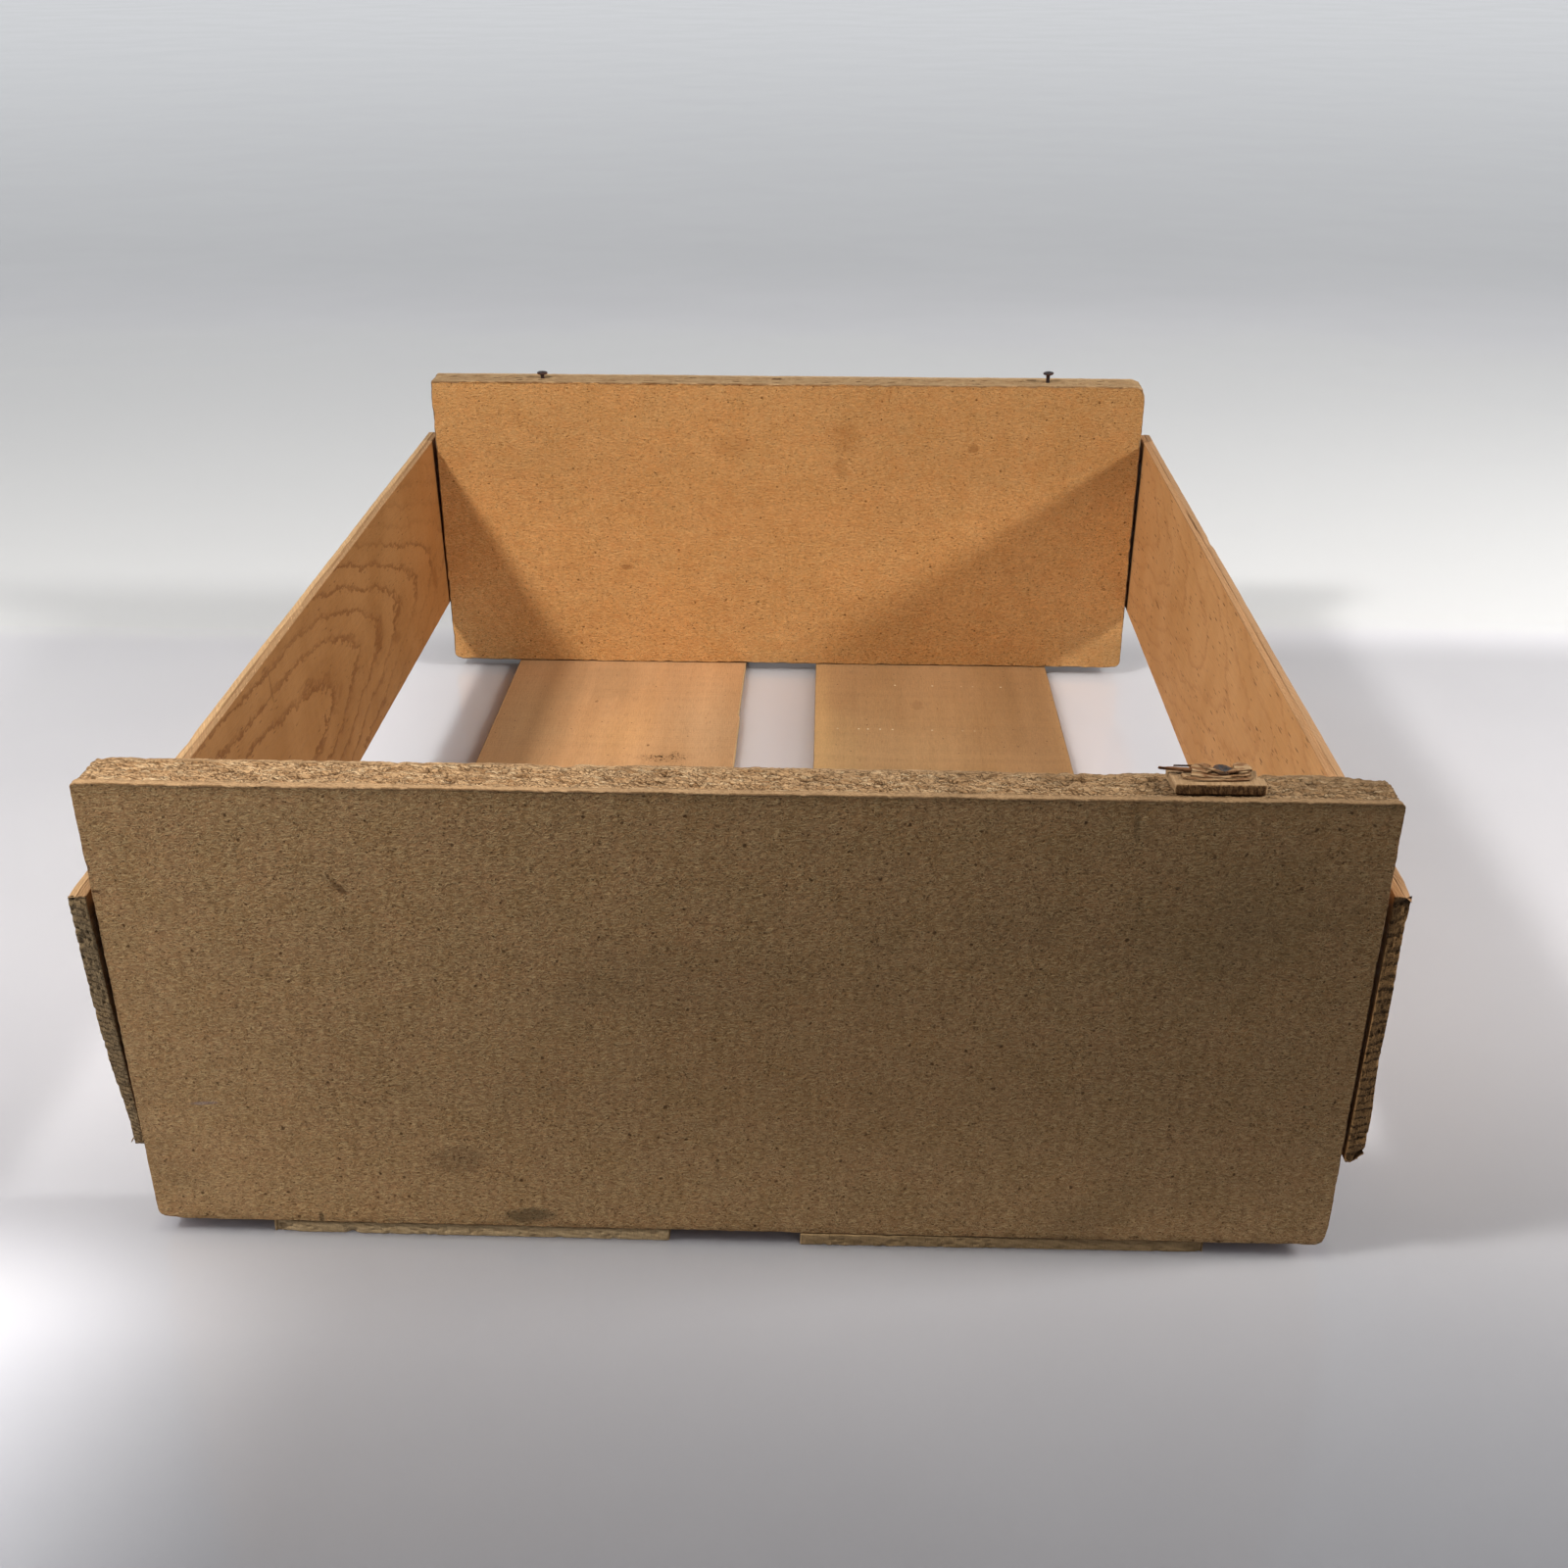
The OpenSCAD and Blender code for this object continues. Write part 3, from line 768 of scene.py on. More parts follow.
def board_rim_material(name, tones, layer, dirt, sign, seed, rough_core=1.0):
    """The sawn rim: coarse flat chips between two fine layers."""
    g = Graph(name)
    depth = g.attr("depth")
    c = g.mad(g.y, sign, HALF_L)
    run = g.add(g.x, g.z)
    v2 = g.vec(run, c, 0.0)
    nz = g.noise(g.p, 0.45, 2, colour=True)
    w = g.vadd(g.vadd(v2, g.vmul(nz, (1.4, 0.5, 0))), (seed, seed, 0))
    _d1, col1 = g.cells(g.vmul(w, (1 / 3.3, 1 / 0.75, 0)))
    e1, _n = g.cells(g.vmul(w, (1 / 3.3, 1 / 0.75, 0)), feature="DISTANCE_TO_EDGE")
    _d2, col2 = g.cells(g.vadd(g.vmul(w, (1 / 1.5, 1 / 0.42, 0)), (31.3, 17.7, 0)))
    e2, _n = g.cells(g.vadd(g.vmul(w, (1 / 1.5, 1 / 0.42, 0)), (31.3, 17.7, 0)), feature="DISTANCE_TO_EDGE")
    r1, g1, b1 = g.split(col1)
    r2, g2, _b2 = g.split(col2)
    strand = g.noise(g.vec(g.mul(run, 0.35), g.mul(c, 3.2), seed), 1.0, 3, 0.6)
    tone = g.add(g.mul(r1, 0.5), g.mul(r2, 0.28), g.mul(strand, 0.34))
    col = g.mix(g.ss(tone, 0.18, 0.62), tones[0], tones[1])
    col = g.mix(g.ss(tone, 0.62, 0.98), col, tones[2])
    crack = g.math(
        "MAXIMUM",
        g.mul(g.ss(e1, 0.085, 0.01), g.ss(g1, 0.25, 0.75)),
        g.mul(g.ss(e2, 0.1, 0.0), g.ss(g2, 0.3, 0.85), 0.95),
    )
    pore, _t = g.dots(g.vmul(v2, (0.62, 1, 1)), 1.35, 0.3, 0.45, 2.0 + seed)
    crumb, _t = g.dots(g.vmul(v2, (0.7, 1, 1)), 0.75, 0.34, 0.34, 9.0 + seed)
    crack = g.math("MAXIMUM", crack, g.math("MAXIMUM", g.mul(pore, 0.8), g.mul(crumb, 0.75)))
    fine = g.noise(g.p, 2.4, 3, 0.65)
    calm = 0.4 + 0.6 * rough_core
    edge_noise = g.mul(g.sub(g.noise(g.p, 0.22, 3, 0.6), 0.5), 2.4)
    cw = g.add(c, edge_noise)
    core = g.mul(g.ss(cw, 1.3, 3.3), g.mad(g.ss(cw, PANEL_T - 1.2, PANEL_T - 2.6), 0.5, 0.5))
    flake = g.noise(g.vec(g.mul(run, 0.55), g.mul(c, 1.3), seed + 5.0), 1.0, 3, 0.7)
    lcol = g.shade(layer, g.add(1.0, g.mul(g.sub(fine, 0.5), 1.0 * calm), g.mul(g.sub(flake, 0.5), 1.1 * calm)))
    lay_dot = g.dashes(v2, 1.1, 0.26, 4, 7.0, 0.4)
    lay_dot = g.math("MAXIMUM", lay_dot, g.dashes(v2, 0.7, 0.3, -20, 17.0, 0.35))
    lcol = g.mix(g.mul(lay_dot, 0.7 * calm), lcol, lin(88, 58, 34))
    lay_pale = g.dashes(v2, 1.6, 0.22, 6, 27.0, 0.4)
    lcol = g.mix(g.mul(lay_pale, 0.45), lcol, lin(206, 172, 126))
    # one dark chipped line along the outer arris
    chip = g.mul(g.ss(c, 0.55, 0.2), g.ss(g.noise(g.vec(g.mul(run, 0.12), seed, 0.0), 1.0, 4, 0.7), 0.42, 0.52))
    lcol = g.mix(g.mul(chip, 0.6), lcol, lin(84, 58, 34))
    gap = g.noise(g.vec(g.mul(run, 0.42), g.mul(c, 2.1), seed + 9.0), 1.0, 4, 0.75)
    gap = g.ss(gap, 0.58, 0.64)
    crack = g.math("MAXIMUM", crack, g.mul(gap, 0.6))
    ccol = g.mix(g.mul(crack, 0.86 * rough_core), col, lin(66, 40, 22))
    ccol = g.shade(ccol, g.add(1.0, g.mul(g.sub(fine, 0.5), 1.0 * calm), g.mul(g.sub(flake, 0.5), 0.8 * calm)))
    col = g.mix(core, lcol, ccol)
    # hollows darker: partly dirt, partly painted shade
    col = g.mix(g.mul(g.ss(depth, 0.3, 0.9), 0.8), col, lin(62, 36, 19))
    grime = g.noise(g.p, 0.06, 3, 0.6)
    col = g.mix(g.mul(g.ss(grime, 0.45, 0.75), dirt), col, lin(106, 84, 62))
    if sign < 0:
        # a dark line where the smooth face begins
        rear = g.mul(g.ss(c, PANEL_T - 0.75, PANEL_T - 0.3), g.ss(g.noise(g.vec(g.mul(run, 0.1), seed, 2.0), 1.0, 3, 0.7), 0.36, 0.52))
        col = g.mix(g.mul(rear, 0.55), col, lin(92, 60, 34))
    if sign > 0:
        # the front panel's top is darker and greyer towards the right
        across = g.math("MULTIPLY_ADD", g.x, 1 / 220.0, 50 / 220.0, clamp=True)
        rightward_darkening = g.mul(across, g.ss(g.z, PANEL_TOP - 9, PANEL_TOP - 3))
        col = g.shade(col, g.mad(rightward_darkening, -0.42, 1.06))
        col = g.mix(g.mul(rightward_darkening, 0.2), col, lin(118, 98, 74))
    height = g.add(
        g.mul(core, g.add(g.mul(crack, -0.32), g.mul(r1, 0.2), g.mul(strand, 0.12))), g.mul(fine, 0.16)
    )
    return g.finish(col, 0.9, height, specular=0.2)


def rings_left(g):
    """Where the left board's surface cuts its growth rings: blunt tongues that
    point to the back, one every 33 mm, and run level near the front."""
    d = g.sub(206.4, g.y)
    teeth = g.noise(g.vec(g.mul(g.x, 0.2), g.mul(g.y, 0.085), g.mul(g.z, 0.2)), 1.0, 3, 0.62)
    jag = g.noise(g.vec(g.mul(g.x, 0.4), g.mul(g.y, 0.3), g.mul(g.z, 0.8)), 1.0, 2, 0.6)
    sway = g.noise(g.vec(g.mul(g.x, 0.05), g.mul(g.y, 0.022), g.mul(g.z, 0.05)), 1.0, 2, 0.55)
    centre = g.mad(g.ss(g.y, 146, 16), 8.0, 68.0)
    t = g.add(g.sub(g.z, centre), g.mul(g.sub(sway, 0.5), 8.0))
    x0 = g.add(g.mul(g.x, -1.0), -HALF_W + 5.0)
    root = g.math("SQRT", g.add(g.mul(t, t), g.mul(x0, x0)))
    away = g.add(root, -16.0)
    away = g.mul(g.add(away, g.math("SQRT", g.mad(away, away, 36.0))), 0.5)
    past = g.add(d, -212.0)
    past = g.mul(g.add(past, g.math("SQRT", g.mad(past, past, 625.0))), 0.5)
    along = g.mul(g.add(d, g.mul(past, -0.85)), 0.03)
    across = g.add(g.mul(root, 0.053), g.mul(away, 0.057))
    return g.add(
        g.sub(along, across), g.mul(g.sub(teeth, 0.5), 1.0), g.mul(g.sub(jag, 0.5), 0.42), 0.45,
    )


def rings_right(g):
    d = g.sub(206.4, g.y)
    teeth = g.noise(g.vec(g.mul(g.x, 0.3), g.mul(g.y, 0.04), g.mul(g.z, 1.0)), 1.0, 3, 0.65)
    sway = g.noise(g.vec(g.mul(g.x, 0.05), g.mul(g.y, 0.03), g.mul(g.z, 0.045)), 1.0, 3, 0.55)
    t = g.sub(g.z, g.mad(d, -0.03, 98.0))
    x0 = g.add(g.x, -HALF_W + 14.0)
    root = g.math("SQRT", g.add(g.mul(t, t), g.mul(x0, x0), 300.0))
    r = g.mad(root, 5.6, -110.0)
    phase = g.mul(g.add(r, d), 1 / 44.0)
    return g.add(phase, g.mul(g.sub(teeth, 0.5), 0.6), g.mul(g.sub(sway, 0.5), 2.0), 0.25)


def board_material(name, side, tones, ring_strength, weather, nails, marks):
    """A side board's broad faces."""
    g = Graph(name)
    phase = rings_left(g) if side < 0 else rings_right(g)
    f = g.math("FRACT", phase)
    line = g.mul(g.ss(f, 0.72 if side < 0 else 0.76, 0.94), g.ss(f, 1.0, 0.965))
    glow = g.mul(g.ss(f, 0.2, 0.95), g.ss(f, 1.0, 0.96))
    vary = g.noise(g.vec(g.mul(g.x, 0.02), g.mul(g.y, 0.012), g.mul(g.z, 0.03)), 1.0, 2)
    streak = g.noise(g.vec(g.mul(g.x, 0.7), g.mul(g.y, 0.018), g.mul(g.z, 0.85)), 1.0, 4, 0.62)
    hair = g.noise(g.vec(g.mul(g.x, 3.0), g.mul(g.y, 0.06), g.mul(g.z, 3.4)), 1.0, 2, 0.6)
    cloud = g.noise(g.p, 0.03, 3, 0.55)
    col = g.mix(g.ss(cloud, 0.32, 0.68), tones[0], tones[1])
    v = g.add(
        1.0,
        g.mul(g.sub(streak, 0.5), 0.3),
        g.mul(g.sub(hair, 0.5), 0.16),
        g.mul(g.sub(vary, 0.5), 0.12),
    )
    col = g.shade(col, v)
    if side < 0:
        plain = g.mul(g.ss(g.z, 66, 52), g.ss(g.y, 60, 110))
        bare = g.ss(g.add(g.z, g.mul(g.y, 0.28), -133.8), -7.0, 3.0)
        plain = g.math("MAXIMUM", plain, bare)
        line = g.mul(line, g.mad(plain, -0.72, 1.0))
        glow = g.mul(glow, g.mad(plain, -0.55, 1.0))
        col = g.mix(g.mul(g.ss(g.y, 90, 215), 0.4), col, lin(158, 98, 46))
    wide_line = g.mul(line, g.ss(g.noise(g.p, 0.05, 2), 0.3, 0.62))
    col = g.mix(g.mul(glow, 0.16 * ring_strength), col, tones[2])
    col = g.mix(g.mul(g.add(g.mul(line, 0.55), g.mul(wide_line, 0.45)), ring_strength), col, tones[2])
    flat = g.vec(g.y, g.z, 0.0)
    pores = g.dashes(flat, 3.6, 0.16, 0, 3.3 + side, 0.5)
    col = g.mix(g.mul(pores, 0.16), col, tones[2])
    flecks = g.dashes(flat, 3.0, 0.45, 3, 12.7 + side, 0.035 if side < 0 else 0.06)
    if side > 0:
        flecks = g.math("MAXIMUM", flecks, g.dashes(flat, 5.0, 0.75, 3, 8.1, 0.09))
    col = g.mix(g.mul(flecks, 0.75), col, lin(78, 42, 20))
    pale = g.dashes(flat, 6.0, 0.35, -2, 31.0, 0.16)
    col = g.mix(g.mul(pale, 0.18), col, tones[3])
    saw = g.noise(g.vec(0.0, g.mul(g.y, 0.85), g.mul(g.z, 0.02)), 1.0, 2, 0.6)
    out = g.ss(g.mul(g.x, side), HALF_W + 3.2, HALF_W + 4.4)
    blotch = g.noise(g.p, 0.055, 4, 0.62)
    # the outer face has stood in weather and been handled
    grey = g.mul(out, g.mad(g.ss(blotch, 0.35, 0.7), 0.35, weather))
    col = g.mix(grey, col, g.shade(tones[4], g.mad(g.sub(streak, 0.5), 0.9, 1.0)))
    scuff = g.mul(out, g.ss(g.noise(g.vec(g.mul(g.y, 0.05), g.mul(g.z, 0.5), 0.0), 1.0, 4, 0.7), 0.62, 0.74))
    col = g.mix(g.mul(scuff, 0.35), col, lin(84, 62, 42))
    crack = None
    for ny, nz, way, span in nails:
        along = g.mul(g.sub(g.y, ny), way)
        bend = g.mul(g.sub(g.noise(g.vec(g.mul(g.y, 0.16), nz, 0.0), 1.0, 2), 0.5), 3.0)
        off = g.math("ABSOLUTE", g.add(g.sub(g.z, nz), bend))
        here = g.mul(g.ss(off, 0.28, 0.05), g.ss(along, -0.4, 0.4), g.ss(along, span, span - 3))
        crack = here if crack is None else g.math("MAXIMUM", crack, here)
    if crack is not None:
        crack = g.mul(crack, out)
        col = g.mix(g.mul(crack, 0.8), col, lin(48, 30, 18))
    # dark in the seam where the board lies against the end panels: partly dirt, partly painted shade
    seam_dirt_and_shade = g.mul(g.ss(g.math("ABSOLUTE", g.y), 205.0, 208.0), g.sub(1.0, out))
    col = g.mix(g.mul(seam_dirt_and_shade, g.mad(g.ss(g.y, -50, 50), 0.22, 0.2 if side < 0 else 0.38)), col, lin(70, 42, 24))
    halo = g.attr("halo")
    rust = g.mul(halo, g.ss(g.noise(g.p, 0.7, 3, 0.6), 0.2, 0.62))
    col = g.mix(g.mul(rust, 0.8), col, lin(70, 40, 26))
    nz = g.noise(g.p, 0.5, 3, 0.6)
    for at, size, turn, amount, tint in marks:
        m = g.blot(g.y, g.z, at, size, turn, n=nz)
        col = g.mix(g.mul(m, amount), col, tint)
    height = g.add(
        g.mul(streak, 0.14), g.mul(hair, 0.07), g.mul(line, 0.05), g.mul(pores, -0.06),
        g.mul(saw, 0.1), g.mul(flecks, -0.15),
    )
    if crack is not None:
        height = g.add(height, g.mul(crack, -0.6))
    height = g.add(height, g.mul(out, g.mul(blotch, 0.1)))
    return g.finish(col, g.mad(streak, 0.16, 0.6), height, specular=0.3)


def board_edge_material(name, side, bands, dark, z_mid):
    """The sawn long edges of a side board: a paler outer band, a split, and
    the inner band."""
    g = Graph(name)
    u = g.mul(g.sub(g.mul(g.x, side), HALF_W), 1.0)
    sway = g.mul(g.sub(g.noise(g.vec(g.mul(g.y, 0.03), 0.0, side * 1.0), 1.0, 3), 0.5), 1.4)
    grain = g.noise(g.vec(g.mul(g.x, 1.6), g.mul(g.y, 0.022), g.mul(g.z, 0.2)), 1.0, 4, 0.65)
    fuzz = g.noise(g.vec(g.mul(g.x, 3.5), g.mul(g.y, 0.35), g.mul(g.z, 3.0)), 1.0, 3, 0.6)
    top = g.ss(g.z, z_mid - 5, z_mid + 5)
    lean_u = g.sub(u, g.mad(top, 1.0, 0.4))
    uu = g.add(lean_u, sway)
    col = g.mix(g.ss(uu, 2.3, 2.9), bands[0], bands[1])
    col = g.shade(col, g.add(1.0, g.mul(g.sub(grain, 0.5), 0.5), g.mul(g.sub(fuzz, 0.5), 0.35)))
    split = g.mul(g.ss(g.math("ABSOLUTE", g.sub(uu, 2.5)), 0.34, 0.06), g.ss(g.noise(g.vec(g.mul(g.y, 0.02), 3.0, 0.0), 1.0, 2), 0.36, 0.56))
    split = g.mul(split, top)
    col = g.mix(g.mul(split, 0.45), col, dark)
    hatch = g.noise(g.vec(g.add(g.mul(g.y, 0.55), g.mul(g.x, 1.4), g.mul(g.z, 0.3)), 2.0, 0.0), 1.0, 3, 0.65)
    col = g.shade(col, g.mad(g.sub(hatch, 0.5), 1.0 if side < 0 else 0.6, 1.0))
    torn = g.dashes(g.vec(g.y, g.mul(g.x, 1.0), 0.0), 2.6, 0.34, 14, 3.3, 0.3 if side < 0 else 0.14)
    col = g.mix(g.mul(torn, 0.5), col, g.shade(bands[1], 1.45))
    lines = g.ss(g.noise(g.vec(g.mul(g.x, 2.2), g.mul(g.y, 0.012), side * 4.0), 1.0, 2), 0.56, 0.68)
    col = g.mix(g.mul(lines, 0.28), col, dark)
    groove = g.attr("depth")
    col = g.mix(g.mul(groove, 0.5), col, dark)
    spots, _t = g.dots(g.vec(g.mul(g.y, 0.3), g.x, 0.0), 1.6, 0.2, 0.14, 5.0)
    col = g.mix(g.mul(spots, 0.5), col, dark)
    height = g.add(g.mul(grain, 0.3), g.mul(fuzz, 0.16), g.mul(split, -0.3), g.mul(lines, -0.08), g.mul(hatch, 0.3))
    return g.finish(col, 0.82, height, specular=0.22)


def end_grain_material(name, tones, pitch, tilt, tighten, weather):
    """A sawn end: broken ring lines, open pores, torn fibres, grey with age."""
    g = Graph(name)
    depth = g.attr("depth")
    wave = g.mul(g.sub(g.noise(g.vec(g.mul(g.x, 0.25), 0.0, g.mul(g.z, 0.12)), 1.0, 3, 0.6), 0.5), 3.4)
    t = g.sub(121.0, g.add(g.z, g.mul(g.x, tilt), wave))
    close = g.math("MAXIMUM", g.sub(t, 45.0), 0.0)
    f = g.math("FRACT", g.add(g.mul(t, 1 / pitch), g.mul(close, close, tighten)))
    late = g.mul(g.ss(f, 0.58, 0.8), g.ss(f, 1.0, 0.93))
    broken = g.noise(g.vec(g.mul(g.x, 1.3), 0.0, g.mul(g.z, 0.5)), 1.0, 3, 0.7)
    late = g.mul(late, g.ss(broken, 0.4, 0.54))
    tear = g.noise(g.vec(g.mul(g.x, 1.1), g.mul(g.y, 0.4), g.mul(g.z, 2.2)), 1.0, 4, 0.68)
    strand = g.noise(g.vec(g.mul(g.x, 3.2), g.mul(g.y, 0.4), g.mul(g.z, 0.5)), 1.0, 3, 0.7)
    col = g.mix(g.ss(g.add(g.mul(tear, 0.5), g.mul(strand, 0.5)), 0.36, 0.62), tones[0], tones[1])
    col = g.mix(g.mul(late, 0.85), col, tones[2])
    pits, _t = g.dots(g.vec(g.x, g.z, 0.0), 0.7, 0.4, 0.5, 1.7)
    col = g.mix(g.mul(pits, 0.62), col, tones[2])
    age = g.noise(g.p, 0.11, 3, 0.6)
    age = g.add(g.ss(age, 0.36, 0.6), g.mul(g.ss(g.z, 70, 100), 0.5))
    col = g.mix(g.math("MINIMUM", g.mul(age, weather), 0.8), col, g.shade(tones[3], g.mad(g.sub(strand, 0.5), 0.8, 1.0)))
    fuzz = g.noise(g.p, 2.6, 3, 0.65)
    col = g.shade(col, g.add(1.0, g.mul(g.sub(fuzz, 0.5), 0.9), g.mul(g.sub(strand, 0.5), 0.5)))
    # pits darker: partly dirt, partly painted shade
    col = g.mix(g.mul(g.ss(depth, 0.3, 1.0), 0.75), col, lin(40, 25, 15))
    height = g.add(g.mul(late, -0.3), g.mul(tear, 0.4), g.mul(strand, 0.35), g.mul(pits, -0.3), g.mul(fuzz, 0.2))
    return g.finish(col, 0.9, height, specular=0.18)


def slat_material(name, tones, seed, marks, dot_rows, edge_x, tone_and_light_patches, crumbs):
    """A bottom slat's broad faces: straight grain and fine saw marks."""
    g = Graph(name)
    grain = g.noise(g.vec(g.mul(g.x, 0.4), g.mul(g.y, 0.02), g.mad(g.z, 0.3, seed)), 1.0, 4, 0.62)
    hair = g.noise(g.vec(g.mul(g.x, 2.2), g.mul(g.y, 0.16), g.mad(g.z, 1.0, seed)), 1.0, 3, 0.6)
    felt = g.noise(g.vmul(g.p, (1.1, 0.55, 1.0)), 1.0, 3, 0.7)
    broad = g.noise(g.vec(g.mul(g.x, 0.045), g.mul(g.y, 0.008), seed), 1.0, 3, 0.5)
    cloud = g.noise(g.p, 0.02, 3, 0.55)
    tilt = g.mul(g.sub(g.noise(g.vec(g.mul(g.x, 0.01), g.mul(g.y, 0.01), seed), 1.0, 1), 0.5), 20.0)
    saw_y = g.add(g.y, g.mul(g.x, 0.03), tilt)
    saw = g.noise(g.vec(0.0, g.mul(saw_y, 1.15), seed), 1.0, 2, 0.55)
    saw_wide = g.noise(g.vec(0.0, g.mul(saw_y, 0.13), seed + 3), 1.0, 3, 0.6)
    col = g.mix(g.ss(broad, 0.3, 0.7), tones[0], tones[1])
    v = g.add(
        1.0, g.mul(g.sub(grain, 0.5), 0.12), g.mul(g.sub(hair, 0.5), 0.36), g.mul(g.sub(cloud, 0.5), 0.2),
        g.mul(g.sub(saw, 0.5), 0.15), g.mul(g.sub(saw_wide, 0.5), 0.16), g.mul(g.sub(felt, 0.5), 0.3),
        g.mul(g.sub(g.noise(g.vec(g.mul(g.x, 0.075), g.mul(g.y, 0.0045), seed + 5.5), 1.0, 2, 0.5), 0.5), 0.34),
    )
    drift = g.noise(g.p, 0.035, 3, 0.6)
    # patches: partly the wood's own tone, partly painted light and shade
    for at, size, amount, tint in tone_and_light_patches:
        m = g.blot(g.x, g.y, at, size, 0, soft=1.0, wobble=0.5, n=drift)
        col = g.mix(g.mul(m, amount), col, tint)
    col = g.shade(col, v)
    line = g.ss(g.noise(g.vec(g.mul(g.x, 0.42), g.mul(g.y, 0.0035), seed + 8), 1.0, 2, 0.5), 0.6, 0.7)
    col = g.mix(g.mul(line, 0.06), col, tones[2])
    flat = g.vec(g.y, g.x, 0.0)
    pores = g.dashes(flat, 4.5, 0.15, 0, seed, 0.5)
    col = g.mix(g.mul(pores, 0.18), col, tones[2])
    pale = g.dashes(flat, 9.0, 0.9, 0, seed + 4, 0.3, 0.34, 0.08)
    col = g.mix(g.mul(pale, 0.12), col, tones[3])
    dark_edge = g.add(
        g.ss(g.add(g.x, g.mul(g.sub(grain, 0.5), 8.0)), edge_x[0] + 16, edge_x[0] - 2),
        0.0,
    )
    col = g.mix(g.mul(dark_edge, edge_x[1]), col, tones[2])
    specks, _t = g.dots(g.vec(g.x, g.y, 0.0), 7.0, 0.075, 0.2, seed)
    col = g.mix(g.mul(specks, 0.7), col, lin(64, 38, 22))
    low = g.ss(g.z, 1.6, 0.4)
    nz = g.noise(g.p, 0.42, 4, 0.65)
    soil = g.noise(g.p, 0.05, 4, 0.6)
    col = g.mix(g.mul(low, g.mad(g.ss(soil, 0.4, 0.7), 0.34, 0.16)), col, lin(120, 98, 74))
    up = g.sub(1.0, low)
    for at, size, turn, amount, tint in marks:
        m = g.blot(g.x, g.y, at, size, turn, n=nz, wobble=0.9)
        col = g.mix(g.mul(m, amount, up), col, tint)
    grit = g.noise(g.vmul(g.p, (0.8, 0.55, 1.0)), 1.0, 3, 0.6)
    for at, size in crumbs:
        m = g.blot(g.x, g.y, at, size, 0, soft=0.7, wobble=0.4, n=nz)
        col = g.mix(g.mul(m, 0.16, up), col, lin(96, 70, 46))
        col = g.mix(g.mul(m, g.ss(grit, 0.5, 0.6), 0.95, up), col, lin(34, 23, 15))
    dent_glint = None
    for y0, x0, x1, shift in dot_rows:
        # a row of tiny dents, left by one tooth of the saw, each with a painted highlight
        cell = g.math("FRACT", g.mul(g.add(g.x, shift), 1 / 2.9))
        idx = g.math("FLOOR", g.mul(g.add(g.x, shift), 1 / 2.9))
        jig = g.node("ShaderNodeTexWhiteNoise", noise_dimensions="1D")
        g.put(jig.inputs["W"], idx)
        rnd = jig.outputs["Value"]
        other = g.math("FRACT", g.mul(rnd, 7.31))
        dx = g.mul(g.sub(cell, g.mad(other, 0.6, 0.2)), 2.9 / 0.62)
        dy = g.mul(g.sub(g.add(g.y, g.mul(g.x, 0.012)), y0), 1 / 0.7)
        r = g.math("SQRT", g.add(g.mul(dx, dx), g.mul(dy, dy)))
        on = g.mul(g.ss(r, 1.1, 0.4), g.ss(g.x, x0 - 2, x0 + 2), g.ss(g.x, x1 + 2, x1 - 2), g.ss(rnd, 0.5, 0.85))
        dent_glint = on if dent_glint is None else g.add(dent_glint, on)
    if dent_glint is not None:
        col = g.mix(g.mul(dent_glint, 0.95, up), col, lin(255, 244, 206))
    halo = g.attr("halo")
    rust = g.mul(halo, g.ss(g.noise(g.p, 0.7, 3, 0.6), 0.2, 0.62))
    col = g.mix(g.mul(rust, 0.8), col, lin(70, 40, 26))
    height = g.add(
        g.mul(saw, 0.1), g.mul(saw_wide, 0.1), g.mul(grain, 0.1), g.mul(hair, 0.05), g.mul(pores, -0.06)
    )
    return g.finish(col, g.mad(hair, 0.15, 0.55), height, specular=0.3)


def slat_edge_material(name, tones, seed):
    """Sawn long edges and ragged ends of the thin wood."""
    g = Graph(name)
    depth = g.attr("depth")
    end = g.attr("endgrain")
    skew = g.vec(g.add(g.mul(g.x, 0.28), g.mul(g.z, 0.55)), g.mul(g.y, 0.01), g.mul(g.z, 0.7))
    slant = g.noise(skew, 1.0, 4, 0.65)
    bars = g.noise(g.vec(g.mul(g.x, 1.6), 0.0, g.mad(g.z, 0.35, seed)), 1.0, 3, 0.6)
    grain = g.noise(g.vec(g.mul(g.x, 0.4), g.mul(g.y, 0.02), g.mad(g.z, 2.2, seed)), 1.0, 4, 0.62)
    fuzz = g.noise(g.p, 2.4, 3, 0.65)
    e = g.mix(g.ss(slant, 0.34, 0.66), tones[0], tones[1])
    e = g.mix(g.mul(g.ss(bars, 0.52, 0.72), 0.45), e, tones[2])
    s = g.mix(g.ss(grain, 0.35, 0.68), tones[0], tones[3])
    col = g.mix(end, s, e)
    col = g.shade(col, g.mad(g.sub(fuzz, 0.5), 0.55, 1.0))
    # hollows darker: partly dirt, partly painted shade
    col = g.mix(g.mul(g.ss(depth, 0.35, 1.0), 0.65), col, tones[2])
    height = g.add(g.mul(slant, 0.3), g.mul(bars, 0.2), g.mul(fuzz, 0.14), g.mul(grain, 0.15))
    return g.finish(col, 0.85, height, specular=0.2)


